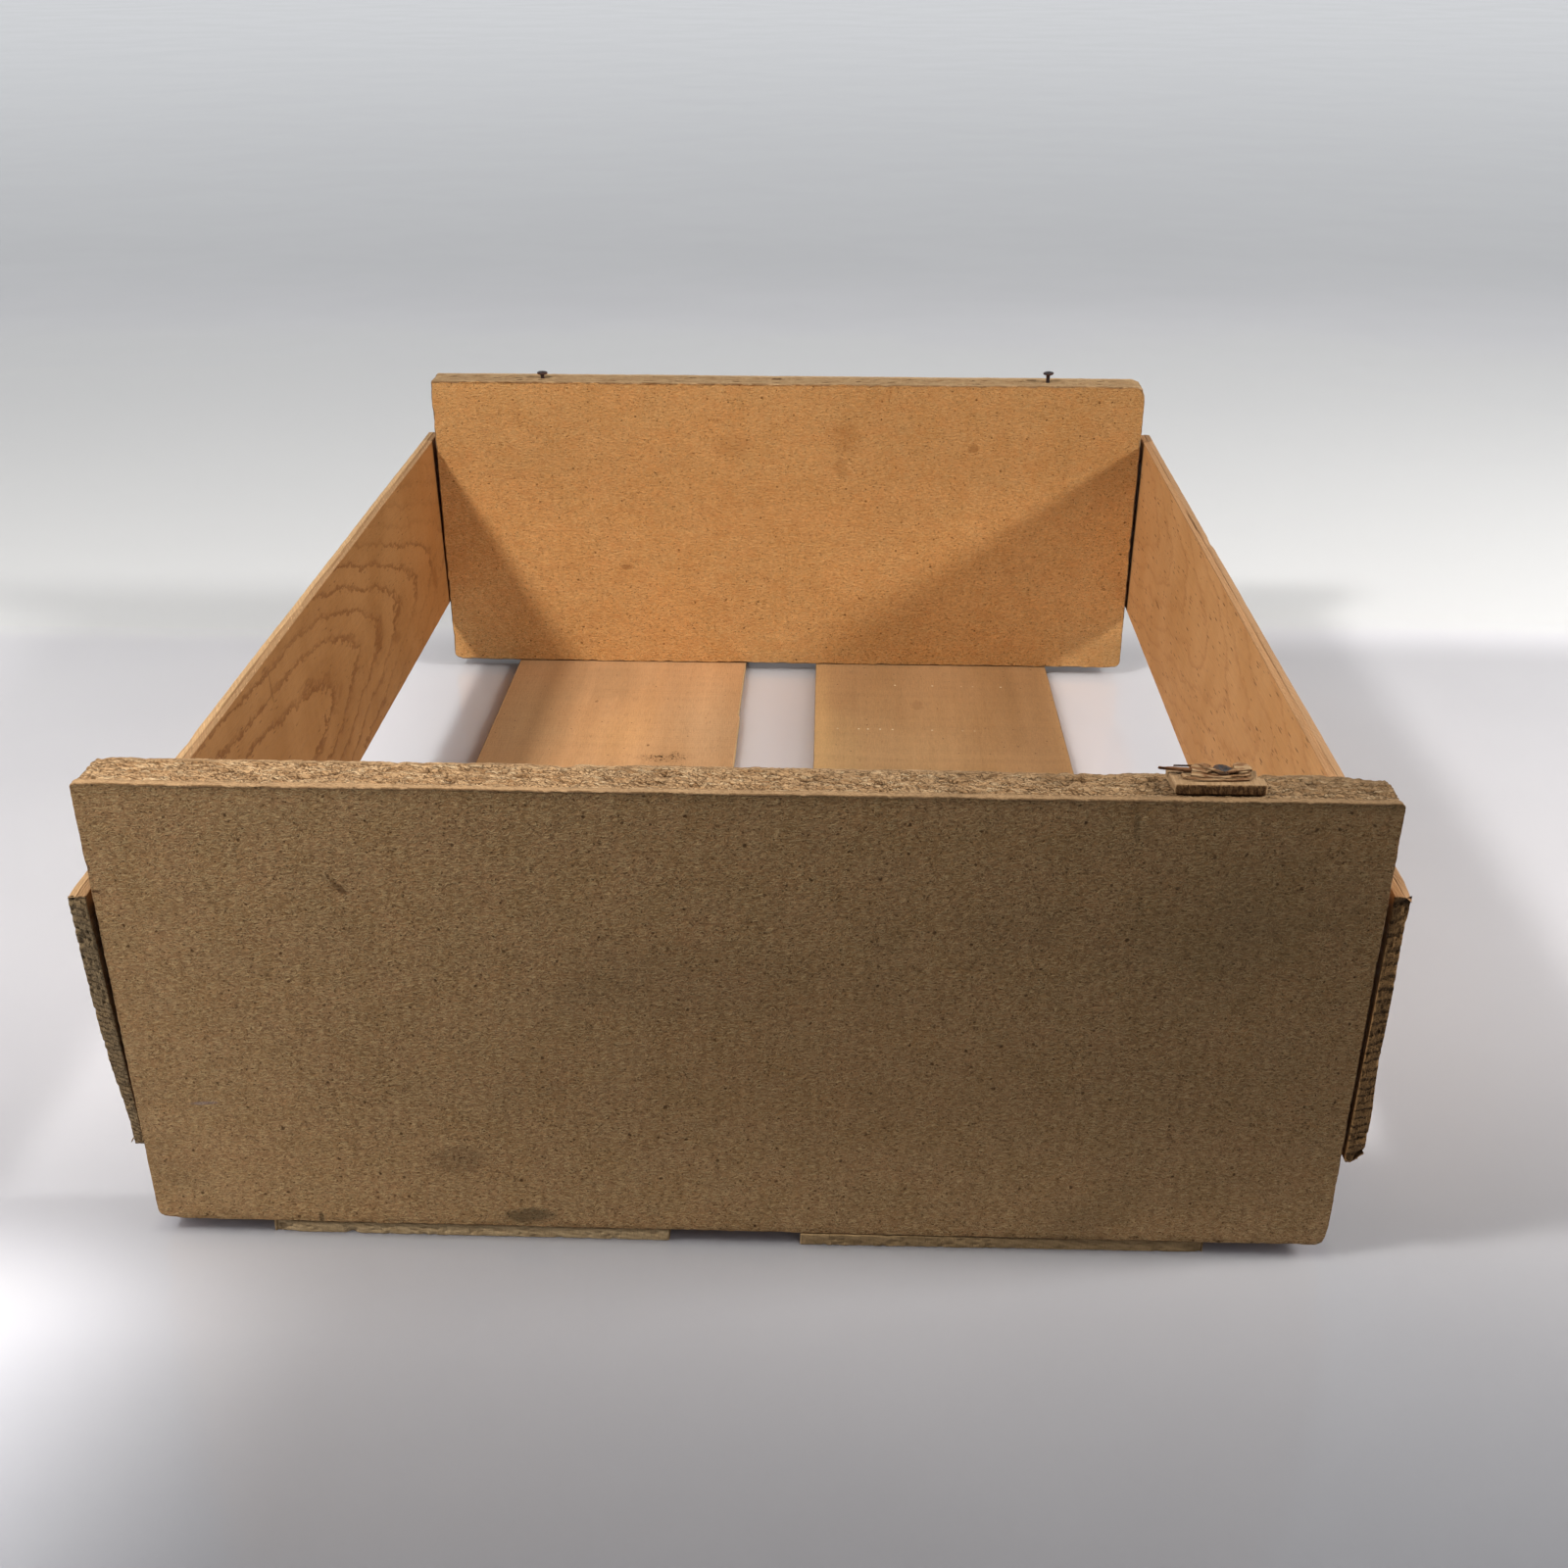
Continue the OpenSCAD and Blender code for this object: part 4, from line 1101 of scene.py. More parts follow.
def scrap_slat_material(name, tones):
    """The lid slat's torn end: pale face, dark end grain in front."""
    g = Graph(name)
    end = g.attr("endgrain")
    depth = g.attr("depth")
    grain = g.noise(g.vec(g.mul(g.x, 1.1), g.mul(g.y, 0.09), g.mul(g.z, 0.6)), 1.0, 4, 0.65)
    bars = g.noise(g.vec(g.add(g.mul(g.x, 1.3), g.mul(g.z, 0.25)), 0.0, g.mul(g.z, 0.55)), 1.0, 4, 0.75)
    fuzz = g.noise(g.p, 2.8, 3, 0.65)
    top = g.mix(g.ss(grain, 0.34, 0.66), tones[0], tones[1])
    e = g.mix(g.ss(bars, 0.44, 0.56), tones[2], tones[3])
    col = g.mix(g.mul(end, g.mad(g.ss(fuzz, 0.3, 0.6), 0.3, 0.7)), top, e)
    col = g.shade(col, g.mad(g.sub(fuzz, 0.5), 0.6, 1.0))
    col = g.mix(g.mul(depth, 0.6), col, tones[2])
    height = g.add(g.mul(grain, 0.25), g.mul(fuzz, 0.15), g.mul(end, g.mul(bars, 0.5)))
    return g.finish(col, 0.86, height, specular=0.2)


def torn_material(name, tones):
    """The cleat's torn layers: long fibres, bright where they parted and
    red-brown where the old surface stayed."""
    g = Graph(name)
    layer = g.attr("layer")
    edge = g.attr("depth")
    run = g.noise(g.vec(g.mul(g.x, 0.1), g.mul(g.y, 1.5), g.mad(g.z, 2.6, g.mul(layer, 3.0))), 1.0, 4, 0.66)
    blot = g.noise(g.vec(g.mul(g.x, 0.25), g.mul(g.y, 0.5), g.mad(g.z, 0.8, g.mul(layer, 7.0))), 1.0, 3, 0.6)
    hair = g.noise(g.vec(g.mul(g.x, 0.3), g.mul(g.y, 5.0), g.mul(g.z, 6.0)), 1.0, 2, 0.6)
    col = g.mix(g.ss(run, 0.38, 0.62), tones[1], tones[0])
    old = g.mul(g.ss(blot, 0.46, 0.6), 0.75)
    col = g.mix(old, col, tones[2])
    col = g.mix(g.mul(g.ss(layer, 2.5, 3.5), 0.72), col, tones[2])
    col = g.mix(g.mul(edge, 0.55), col, tones[3])
    col = g.shade(col, g.add(1.0, g.mul(g.sub(hair, 0.5), 0.6), g.mul(g.sub(run, 0.5), 0.3)))
    height = g.add(g.mul(run, 0.4), g.mul(hair, 0.12))
    return g.finish(col, 0.82, height, specular=0.25)


def nail_material(name, steel, rust, rust_share, head_tint):
    g = Graph(name)
    head = g.attr("head")
    radial = g.attr("radial")
    n1 = g.noise(g.p, 0.9, 4, 0.65)
    n2 = g.noise(g.p, 3.5, 3, 0.6)
    spots, _t = g.dots(g.vec(g.add(g.x, g.mul(g.y, 0.7)), g.add(g.z, g.mul(g.y, 0.7)), 0.0), 0.8, 0.42, 0.5, 2.0)
    r = g.ss(g.add(n1, g.mul(g.sub(n2, 0.5), 0.5), g.mul(g.ss(radial, 1.9, 2.5), 0.16)), 0.66 - 0.5 * rust_share, 0.86 - 0.5 * rust_share)
    col = g.shade(steel, g.mad(g.sub(n2, 0.5), 0.6, 1.0))
    col = g.mix(g.mul(head, 0.6), col, head_tint)
    rcol = g.mix(g.ss(n2, 0.35, 0.7), rust[0], rust[1])
    col = g.mix(r, col, rcol)
    col = g.mix(g.mul(spots, 0.4), col, rust[0])
    height = g.add(g.mul(r, g.mad(n2, 0.14, 0.03)), g.mul(n2, 0.05), g.mul(spots, -0.05))
    rough = g.mad(r, 0.35, 0.42)
    metal = g.mad(r, -0.75, 0.8)
    return g.finish(col, rough, height, metallic=metal, specular=0.4)


def floor_material():
    g = Graph("pale_floor")
    soft = g.noise(g.p, 0.004, 3, 0.5)
    # painted shade and reflection: the floor darkens towards the front
    near = g.mix(g.ss(soft, 0.3, 0.7), lin(130, 131, 136), lin(135, 136, 141))
    far = g.mix(g.ss(soft, 0.3, 0.7), lin(208, 207, 211), lin(214, 213, 217))
    col = g.mix(g.ss(g.y, -420, -40), near, far)
    # greyer where the front panel keeps the light off
    under = g.mul(g.ss(g.y, -225.0, -221.5), g.ss(g.y, -203.0, -207.0), g.ss(g.math("ABSOLUTE", g.x), 176.0, 170.0))
    col = g.mix(g.mul(under, 0.3), col, g.vmul(col, (0.62, 0.6, 0.66)))
    # painted light: lighter to the left of the crate
    aside = g.mul(g.ss(g.x, -140, -250), g.ss(g.y, 900, 300))
    col = g.shade(col, g.mad(aside, 0.3, 1.0))
    # painted light: lighter behind the crate
    behind = g.mul(g.ss(g.y, 228, 300), g.ss(g.y, 1500, 700))
    col = g.shade(col, g.mad(behind, 0.56, 1.0))
    # painted light: lighter at the front left corner
    corner = g.mul(g.ss(g.x, -100, -215), g.ss(g.y, -195, -265))
    col = g.shade(col, g.mad(corner, 0.9, 1.0))
    mat = g.finish(col, 0.14, None, specular=0.5, ior=2.0)
    # milky, so that the light softens in under the panels
    shader = next(n for n in g.tree.nodes if n.type == "BSDF_PRINCIPLED")
    shader.inputs["Subsurface Weight"].default_value = 1.0
    shader.inputs["Subsurface Radius"].default_value = (1.0, 1.0, 1.0)
    shader.inputs["Subsurface Scale"].default_value = 0.027
    return mat


# The outer faces carry the marks of use: smudges, a scrape, a stain; the front one also carries painted light and
# shade.
def outer_front(g, col, v2, fine, mid):
    nz = g.noise(g.p, 0.3, 4, 0.65)
    top = g.mul(g.ss(g.z, PANEL_TOP - 4.5, PANEL_TOP - 0.3), g.mad(g.ss(nz, 0.3, 0.6), 0.5, 0.25))
    col = g.mix(g.mul(top, 0.5), col, lin(86, 68, 44))
    low = g.mul(g.ss(g.z, PANEL_Z + 3.0, PANEL_Z), g.ss(nz, 0.35, 0.6))
    col = g.mix(g.mul(low, 0.5), col, lin(84, 62, 38))
    soil = g.noise(g.vec(g.mul(g.x, 0.016), 0.0, g.mul(g.z, 0.024)), 1.0, 4, 0.6)
    # painted light and shade: the face darkens towards the middle and right, and is lighter near the bottom
    painted_shade_to_right = g.mad(g.ss(g.x, -140, 60), -0.24, 1.05)
    painted_shade_to_right = g.mad(g.ss(g.x, 40, 160), -0.07, painted_shade_to_right)
    col = g.shade(col, g.add(painted_shade_to_right, g.mul(g.ss(g.z, 60, 5), 0.17)))
    col = g.mix(g.mul(g.ss(soil, 0.52, 0.78), 0.3), col, lin(104, 86, 60))
    for at, size, turn, amount, tint in (
        ((-104.0, 118.5), (2.9, 1.0), -48, 0.62, lin(88, 56, 30)),
        ((-107.0, 121.2), (3.2, 0.6), -38, 0.3, lin(96, 66, 38)),
        ((-170.0, 116.3), (1.6, 0.5), 0, 0.75, lin(66, 38, 22)),
        ((-151.5, 46.8), (4.4, 0.7), 4, 0.32, lin(96, 108, 150)),
        ((-80.0, 28.2), (9.0, 6.0), 10, 0.26, lin(94, 74, 50)),
        ((-61.0, 8.4), (8.4, 3.0), 6, 0.62, lin(84, 74, 54)),
        ((-122.6, 5.8), (0.8, 2.4), 0, 0.6, lin(70, 54, 36)),
        ((104.3, 140.5), (1.0, 5.4), 4, 0.36, lin(80, 64, 42)),
        ((-14.0, 92.0), (46.0, 14.0), 0, 0.1, lin(96, 74, 56)),
        ((30.0, 62.0), (60.0, 30.0), 0, 0.08, lin(150, 108, 66)),
        ((132.0, 112.0), (34.0, 26.0), 20, 0.14, lin(92, 82, 56)),
    ):
        m = g.blot(g.x, g.z, at, size, turn, n=nz, wobble=0.5)
        col = g.mix(g.mul(m, amount), col, tint)
    return col


def outer_back(g, col, v2, fine, mid):
    nz = g.noise(g.p, 0.26, 4, 0.65)
    top = g.mul(g.ss(g.z, PANEL_TOP - 4.0, PANEL_TOP - 0.3), g.ss(nz, 0.3, 0.6))
    col = g.mix(g.mul(top, 0.35), col, lin(96, 74, 48))
    soil = g.noise(g.vec(g.mul(g.x, 0.014), 4.0, g.mul(g.z, 0.02)), 1.0, 4, 0.6)
    col = g.mix(g.mul(g.ss(soil, 0.48, 0.76), 0.34), col, lin(108, 88, 62))
    scrape = g.dashes(g.vec(g.x, g.z, 0.0), 24.0, 0.7, 12, 3.0, 0.12)
    col = g.mix(g.mul(scrape, 0.3), col, lin(206, 172, 118))
    for at, size, turn, amount, tint in (
        ((72.0, 34.0), (15.0, 8.0), -14, 0.3, lin(88, 70, 48)),
        ((-96.0, 104.0), (9.0, 12.0), 20, 0.22, lin(92, 72, 50)),
        ((-20.0, 12.0), (22.0, 4.0), 0, 0.35, lin(86, 74, 56)),
        ((140.0, 96.0), (2.2, 7.0), 18, 0.4, lin(76, 56, 36)),
    ):
        m = g.blot(g.x, g.z, at, size, turn, n=nz, wobble=0.5)
        col = g.mix(g.mul(m, amount), col, tint)
    return col


def inner_back(g, col, v2, fine, mid):
    nz = g.noise(g.p, 0.3, 4, 0.65)
    # painted shade: darker towards the top, more on the right, and in the lower right corner
    upper = g.mul(g.ss(g.z, 74, 116), g.mad(g.ss(g.x, -60, 160), -0.13, -0.08))
    corner = g.mul(g.ss(g.z, 34, 12), g.ss(g.x, 130, 166), -0.22)
    col = g.shade(col, g.add(1.0, upper, corner))
    orange = g.noise(g.vmul(g.p, (0.12, 0.12, 0.17)), 1.0, 3, 0.6)
    col = g.mix(g.mul(g.ss(orange, 0.48, 0.66), 0.22), col, lin(196, 132, 76))
    for at, size, turn, amount, tint in (
        ((-26.0, 118.0), (10.0, 7.0), 0, 0.2, lin(150, 96, 46)),
        ((29.0, 123.0), (7.0, 9.0), 0, 0.24, lin(146, 92, 44)),
        ((91.0, 118.0), (3.0, 2.0), 0, 0.5, lin(132, 86, 46)),
        ((-80.0, 55.6), (3.0, 1.6), 0, 0.55, lin(140, 90, 48)),
        ((27.0, 108.0), (4.0, 6.0), 10, 0.26, lin(140, 88, 42)),
        ((10.0, 84.0), (70.0, 20.0), 0, 0.1, lin(166, 108, 56)),
    ):
        m = g.blot(g.x, g.z, at, size, turn, n=nz, wobble=0.6)
        col = g.mix(g.mul(m, amount), col, tint)
    along = g.noise(g.vec(g.mul(g.x, 0.16), 7.0, g.mul(g.z, 0.9)), 1.0, 4, 0.7)
    edge = g.mul(g.ss(g.z, PANEL_TOP - 1.7, PANEL_TOP - 0.9), g.ss(along, 0.44, 0.54))
    dark = g.mix(g.ss(g.x, -10, 60), lin(88, 52, 28), lin(176, 132, 86))
    return g.mix(g.mul(edge, 0.75), col, dark)


M = {}
M["front_outer"] = board_face_material(
    "panel_front_outer_face", lin(173, 135, 94), lin(165, 129, 87), lin(222, 190, 139), outer_front, 1.12
)
M["back_outer"] = board_face_material(
    "panel_back_outer_face", lin(182, 144, 98), lin(172, 136, 90), lin(224, 194, 142), outer_back
)
M["front_inner"] = board_face_material(
    "panel_front_inner_face", lin(206, 150, 92), lin(198, 142, 84), lin(232, 190, 128), None, 0.7, 2.0
)
M["back_inner"] = board_face_material(
    "panel_back_inner_face", lin(208, 154, 96), lin(200, 146, 88), lin(232, 192, 134), inner_back, 0.76, 2.0
)
M["front_rim"] = board_rim_material(
    "panel_front_rim", (lin(158, 120, 82), lin(194, 157, 116), lin(213, 184, 145)), lin(170, 137, 101), 0.26, 1.0, 3.7
)
M["back_rim"] = board_rim_material(
    "panel_back_rim", (lin(168, 131, 92), lin(190, 155, 114), lin(202, 172, 132)), lin(192, 158, 117), 0.12, -1.0, 11.9, 0.1
)
GREY = lin(132, 116, 92)
left_nails = [(e * NAIL_Y, LEFT_Z + k + 1.92 * e, e, 9.0) for e, k in ((-1, 73.5), (1, 11.0), (1, 42.25))]
right_nails = [(e * NAIL_Y, RIGHT_Z + k, e, 9.0) for e, k in ((-1, 11.0), (1, 75.5), (-1, 43.25))]
# the left board's colours are darker than the right's: partly its own tone, partly painted shade on its inner face
M["left_board"] = board_material(
    "side_board_left_faces", -1,
    (lin(152, 112, 70), lin(142, 102, 61), lin(100, 60, 31), lin(172, 134, 90), GREY),
    0.66, 0.28, left_nails,
    (
        ((-62.0, 105.5), (0.8, 7.0), 3, 0.4, lin(92, 58, 32)),
        ((76.0, 69.5), (9.0, 5.0), 20, 0.3, lin(100, 58, 26)),
        ((104.0, 57.5), (7.0, 3.0), -10, 0.3, lin(100, 58, 26)),
        ((183.0, 57.0), (5.0, 6.0), 0, 0.34, lin(104, 58, 26)),
        ((14.0, 71.0), (5.0, 2.2), 34, 0.26, lin(100, 60, 30)),
        ((3.0, 67.0), (7.0, 1.6), -28, 0.24, lin(100, 60, 30)),
        ((145.0, 66.0), (3.0, 7.0), 20, 0.18, lin(104, 60, 28)),
    ),
)
M["right_board"] = board_material(
    "side_board_right_faces", 1,
    (lin(203, 155, 104), lin(194, 145, 93), lin(155, 98, 53), lin(218, 176, 126), GREY),
    0.26, 0.26, right_nails,
    (
        ((131.0, 67.5), (6.0, 0.9), 2, 0.6, lin(112, 68, 36)),
        ((-94.0, 109.5), (3.2, 0.5), 0, 0.6, lin(110, 66, 36)),
        ((-93.0, 101.5), (3.0, 0.5), 0, 0.55, lin(110, 66, 36)),
        ((112.0, 84.0), (5.0, 0.8), -20, 0.3, lin(134, 84, 46)),
    ),
)
M["left_edge"] = board_edge_material("side_board_left_edges", -1, (lin(166, 129, 92), lin(196, 158, 116)), lin(134, 100, 68), 74.0)
M["right_edge"] = board_edge_material("side_board_right_edges", 1, (lin(176, 133, 93), lin(172, 134, 98)), lin(138, 100, 70), 78.0)
M["left_end"] = end_grain_material(
    "side_board_left_ends", (lin(142, 116, 84), lin(178, 150, 111), lin(80, 60, 42), lin(140, 122, 94)), 4.8, 0.5, 0.002, 0.4
)
M["right_end"] = end_grain_material(
    "side_board_right_ends", (lin(120, 89, 57), lin(164, 127, 85), lin(50, 33, 20), lin(104, 83, 56)), 6.2, -0.3, 0.0015, 0.22
)
M["left_slat"] = slat_material(
    "slat_left_faces", (lin(190, 146, 104), lin(182, 138, 95), lin(136, 96, 56), lin(212, 172, 128)), 2.0,
    (
        ((-110.0, 150.0), (8.0, 30.0), 0, 0.1, lin(160, 116, 72)),
        ((-91.0, 156.0), (0.8, 1.4), 0, 0.5, lin(92, 60, 34)),
        ((-60.6, 107.0), (0.7, 1.2), 0, 0.6, lin(80, 50, 28)),
    ),
    (), (-137.5, 0.12),
    (
        ((-124.0, 130.0), (22.0, 80.0), 0.5, lin(178, 150, 112)),
        ((-34.0, 120.0), (26.0, 60.0), 0.55, lin(180, 145, 108)),
        ((-88.0, 190.0), (30.0, 36.0), 0.55, lin(160, 127, 92)),
        ((-74.0, 118.0), (20.0, 34.0), 0.3, lin(206, 158, 104)),
    ),
    (((-52.0, 94.0), (12.5, 4.4)), ((-47.5, 99.0), (2.0, 2.4))),
)
M["right_slat"] = slat_material(
    "slat_right_faces", (lin(197, 156, 111), lin(189, 148, 102), lin(142, 102, 60), lin(214, 178, 132)), 9.0,
    (((66.0, 157.0), (3.0, 6.0), 0, 0.22, lin(130, 90, 52)), ((30.0, 100.0), (10.0, 50.0), 0, 0.08, lin(214, 190, 120))),
    ((181.5, 54.0, 118.0, 0.0), (129.0, 26.0, 104.0, 2.3)), (15.5, 0.02),
    (
        ((46.0, 96.0), (52.0, 60.0), 0.6, lin(216, 176, 128)),
        ((19.0, 125.0), (6.5, 90.0), 0.5, lin(222, 182, 124)),
    ),
    (),
)
M["left_slat_rim"] = slat_edge_material("slat_left_rim", (lin(176, 148, 110), lin(206, 178, 136), lin(124, 100, 72), lin(200, 166, 122)), 5.0)
M["right_slat_rim"] = slat_edge_material("slat_right_rim", (lin(150, 124, 88), lin(178, 148, 108), lin(98, 76, 52), lin(192, 158, 114)), 6.0)
M["scrap"] = scrap_slat_material("lid_slat_scrap_wood", (lin(172, 141, 106), lin(146, 117, 85), lin(70, 46, 29), lin(136, 104, 70)))
M["torn"] = torn_material("lid_cleat_scrap_wood", (lin(176, 146, 110), lin(144, 108, 74), lin(112, 72, 46), lin(62, 40, 26)))
M["nail"] = nail_material("rusty_box_nail", lin(84, 80, 80), (lin(74, 44, 32), lin(104, 64, 42)), 0.55, lin(92, 86, 84))
M["lid_nail"] = nail_material("lid_box_nail", lin(72, 68, 72), (lin(78, 50, 44), lin(98, 66, 52)), 0.36, lin(76, 74, 80))
M["scrap_nail"] = nail_material("bright_box_nail", lin(88, 84, 84), (lin(84, 62, 50), lin(104, 82, 66)), 0.45, lin(90, 85, 84))
floor_mat = floor_material()

# --------------------------------------------------------------------------
# end panels
# --------------------------------------------------------------------------
rows_t = np.r_[0.0, 0.15, 0.35, 0.65, 1.05, 1.5, 1.95, np.arange(2.4, 13.6, 0.47), 13.95, 14.4, 14.85, 15.25, 15.55, 15.75, PANEL_T]


def end_panel(name, front):
    seed = 11 if front else 47
    amp = 1.0 if front else 0.55
    out = rect_outline(
        -HALF_W, HALF_W, 0.0, PANEL_H, (4.0, 4.0, 1.5, 1.5), (1.2, 0.85, 0.42 if front else 0.55, 0.85, 0.4)
    )
    nails = [(x, NAIL_Y) for x in LID_NAIL_X] if not front else []

    def rim(P, N, s, tag, c):
        x, b = P[..., 0] + 0 * c, P[..., 1] + 0 * c
        s = s + 0 * c
        where = np.select([tag == 2, tag == 0], [1.0 if front else 0.55, 0.5], 0.75) * amp + 0 * c
        b0 = 2.7 + 0.5 * fbm(s / 9, 0 * s, seed + 1)
        b1 = PANEL_T - 2.3 + 0.55 * fbm(s / 7, 0 * s + 5, seed + 2)
        core = ramp(b0 - 0.35, b0 + 0.45, c) * (1 - ramp(b1 - 0.45, b1 + 0.4, c))
        ws = s + 1.3 * noise(s / 2.6, c / 1.6, seed + 3)
        wc = c + 0.4 * noise(s / 2.3, c / 1.1, seed + 4)
        f1, f2, r = cells(ws / 3.3, wc / 0.95, seed + 5)
        crack = ramp(0.2, 0.0, f2 - f1)
        g1, g2, q = cells(ws / 6.5, wc / 1.9, seed + 6)
        pit = (q > 0.76) * ramp(0.62, 0.1, g1) * (1.0 + 0.6 * noise(s / 3, c, seed + 8))
        h1, h2, u = cells(ws / 1.7 + 9, wc / 0.6, seed + 16)
        small = (u > 0.7) * ramp(0.6, 0.15, h1)
        fine = fbm(s / 0.9, c / 0.6, seed + 7, 2)
        low = 0.16 + 0.12 * fbm(s / 46, 0 * s, seed + 9, 2) + 0.1 * fbm(s / 13, 0 * s, seed + 10, 2)
        relief = core * (0.12 + 0.42 * r + 0.34 * crack + 0.95 * pit + 0.42 * small + 0.14 * fine)
        relief = relief + (1 - core) * (0.12 + 0.13 * fine + 0.14 * fbm(s / 3.2, c / 2.0, seed + 12, 2))
        # the inner fine layer has crumbled in places
        crumb = ramp(b1 - 0.3, b1 + 0.5, c) * ramp(0.1, 0.55, fbm(s / 11, 0 * s + 3, seed + 13, 3))
        relief = relief + crumb * (0.55 + 0.3 * noise(s / 1.4, c / 0.8, seed + 14))
        flank = (tag == 1) | (tag == 3)
        low = np.where(flank & (c < 4), 0.05 + 0.3 * (low - 0.16).clip(0, 1), low)
        ra = 0.34 + 0.2 * noise(s / 4.5, 0 * s, seed + 20) + 0.14 * noise(s / 1.3, 0 * s, seed + 24)
        ra = np.where(flank, 0.55 * ra, ra)
        k1, k2, kr = cells(s / 10.0, 0 * s + 0.5, seed + 21)
        ra = ra + (kr > 0.82) * ramp(0.3, 0.02, k1) * 0.5
        rb = 0.6 + 0.35 * noise(s / 3.5, 0 * s + 4, seed + 22)
        d = low + where * relief + arris(c, PANEL_T, ra, rb)
        # broken upper corners
        for sx in (-1, 1):
            away = np.hypot(x - sx * HALF_W, b - PANEL_H)
            near = ramp(11.0, 2.0, away + 2.5 * noise(s / 3, c / 2, seed + 30))
            loss = ramp(2.2, 3.4, c + 0.6 * noise(s / 4, c / 3, seed + 31))
            if front:
                part = ramp(0.35, 0.95, np.abs(N[..., 0] + 0 * c))
                d = d + part * near * loss * 0.3
            else:
                d = d + ramp(0.35, 0.95, np.abs(N[..., 0] + 0 * c)) * near * loss * 0.25
                if sx > 0:
                    d = d + 1.5 * ramp(5.5, 0.5, away)
            low_away = np.hypot(x - sx * HALF_W, b)
            d = d + 0.5 * ramp(9.0, 3.0, low_away) * (0.4 + 0.6 * noise(s / 2.5, c / 1.5, seed + 33)) ** 2
        if front:
            # a chip out of the rear arris beside the lid's scrap
            near = np.exp(-(((x - 168.0) / 4.0) ** 2)) * (tag == 2)
            d = d + 0.6 * near * ramp(11.0, 13.5, c)
            press = (x > SCRAP_X - 1.5) & (x < SCRAP_X + 24.5) & (tag == 2) & (c < 14)
            d = np.where(press, np.minimum(d, 0.55), d)
        mid = PANEL_T / 2
        for nx, _ny in nails:
            rr = np.hypot(x - nx, c - mid)
            d = d + 0.3 * ramp(2.1, 0.8, rr + 0.35 * noise(s / 0.8, c / 0.8, seed + 41)) * (tag == 2)
        d = np.clip(d, 0.0, 4.5)
        depth = np.clip((relief - 0.35) / 1.25, 0, 1)
        return d, np.zeros_like(d), {"depth": depth}

    def face(side, a, b):
        lift = 0.05 + 0.05 * fbm(a / 55, b / 55, seed + 60 + side, 2) + 0.02 * fbm(a / 7, b / 7, seed + 62 + side, 2)
        lift = np.clip(lift, 0.0, 0.2)
        return (lift if side == 0 else -lift), {"depth": np.zeros(len(a))}

    V, F, kinds, tags, at = plate(out, PANEL_T, rows_t, [0.3, 0.8, 1.7, 3.2], 6.0, [], rim, face, seed=seed)
    y = -HALF_L + V[:, 2] if front else HALF_L - V[:, 2]
    W = np.column_stack([V[:, 0], y, V[:, 1] + PANEL_Z])
    slots = np.select([kinds == 0, kinds == 1], [0, 1], 2)
    key = "front" if front else "back"
    ob = make_object(name, W, F, slots, [M[key + "_outer"], M[key + "_inner"], M[key + "_rim"]], at)
    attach(ob, "root")
    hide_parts(key + "_end_panel")
    return ob


end_panel("worn_front_end_panel", True)
end_panel("worn_back_end_panel", False)


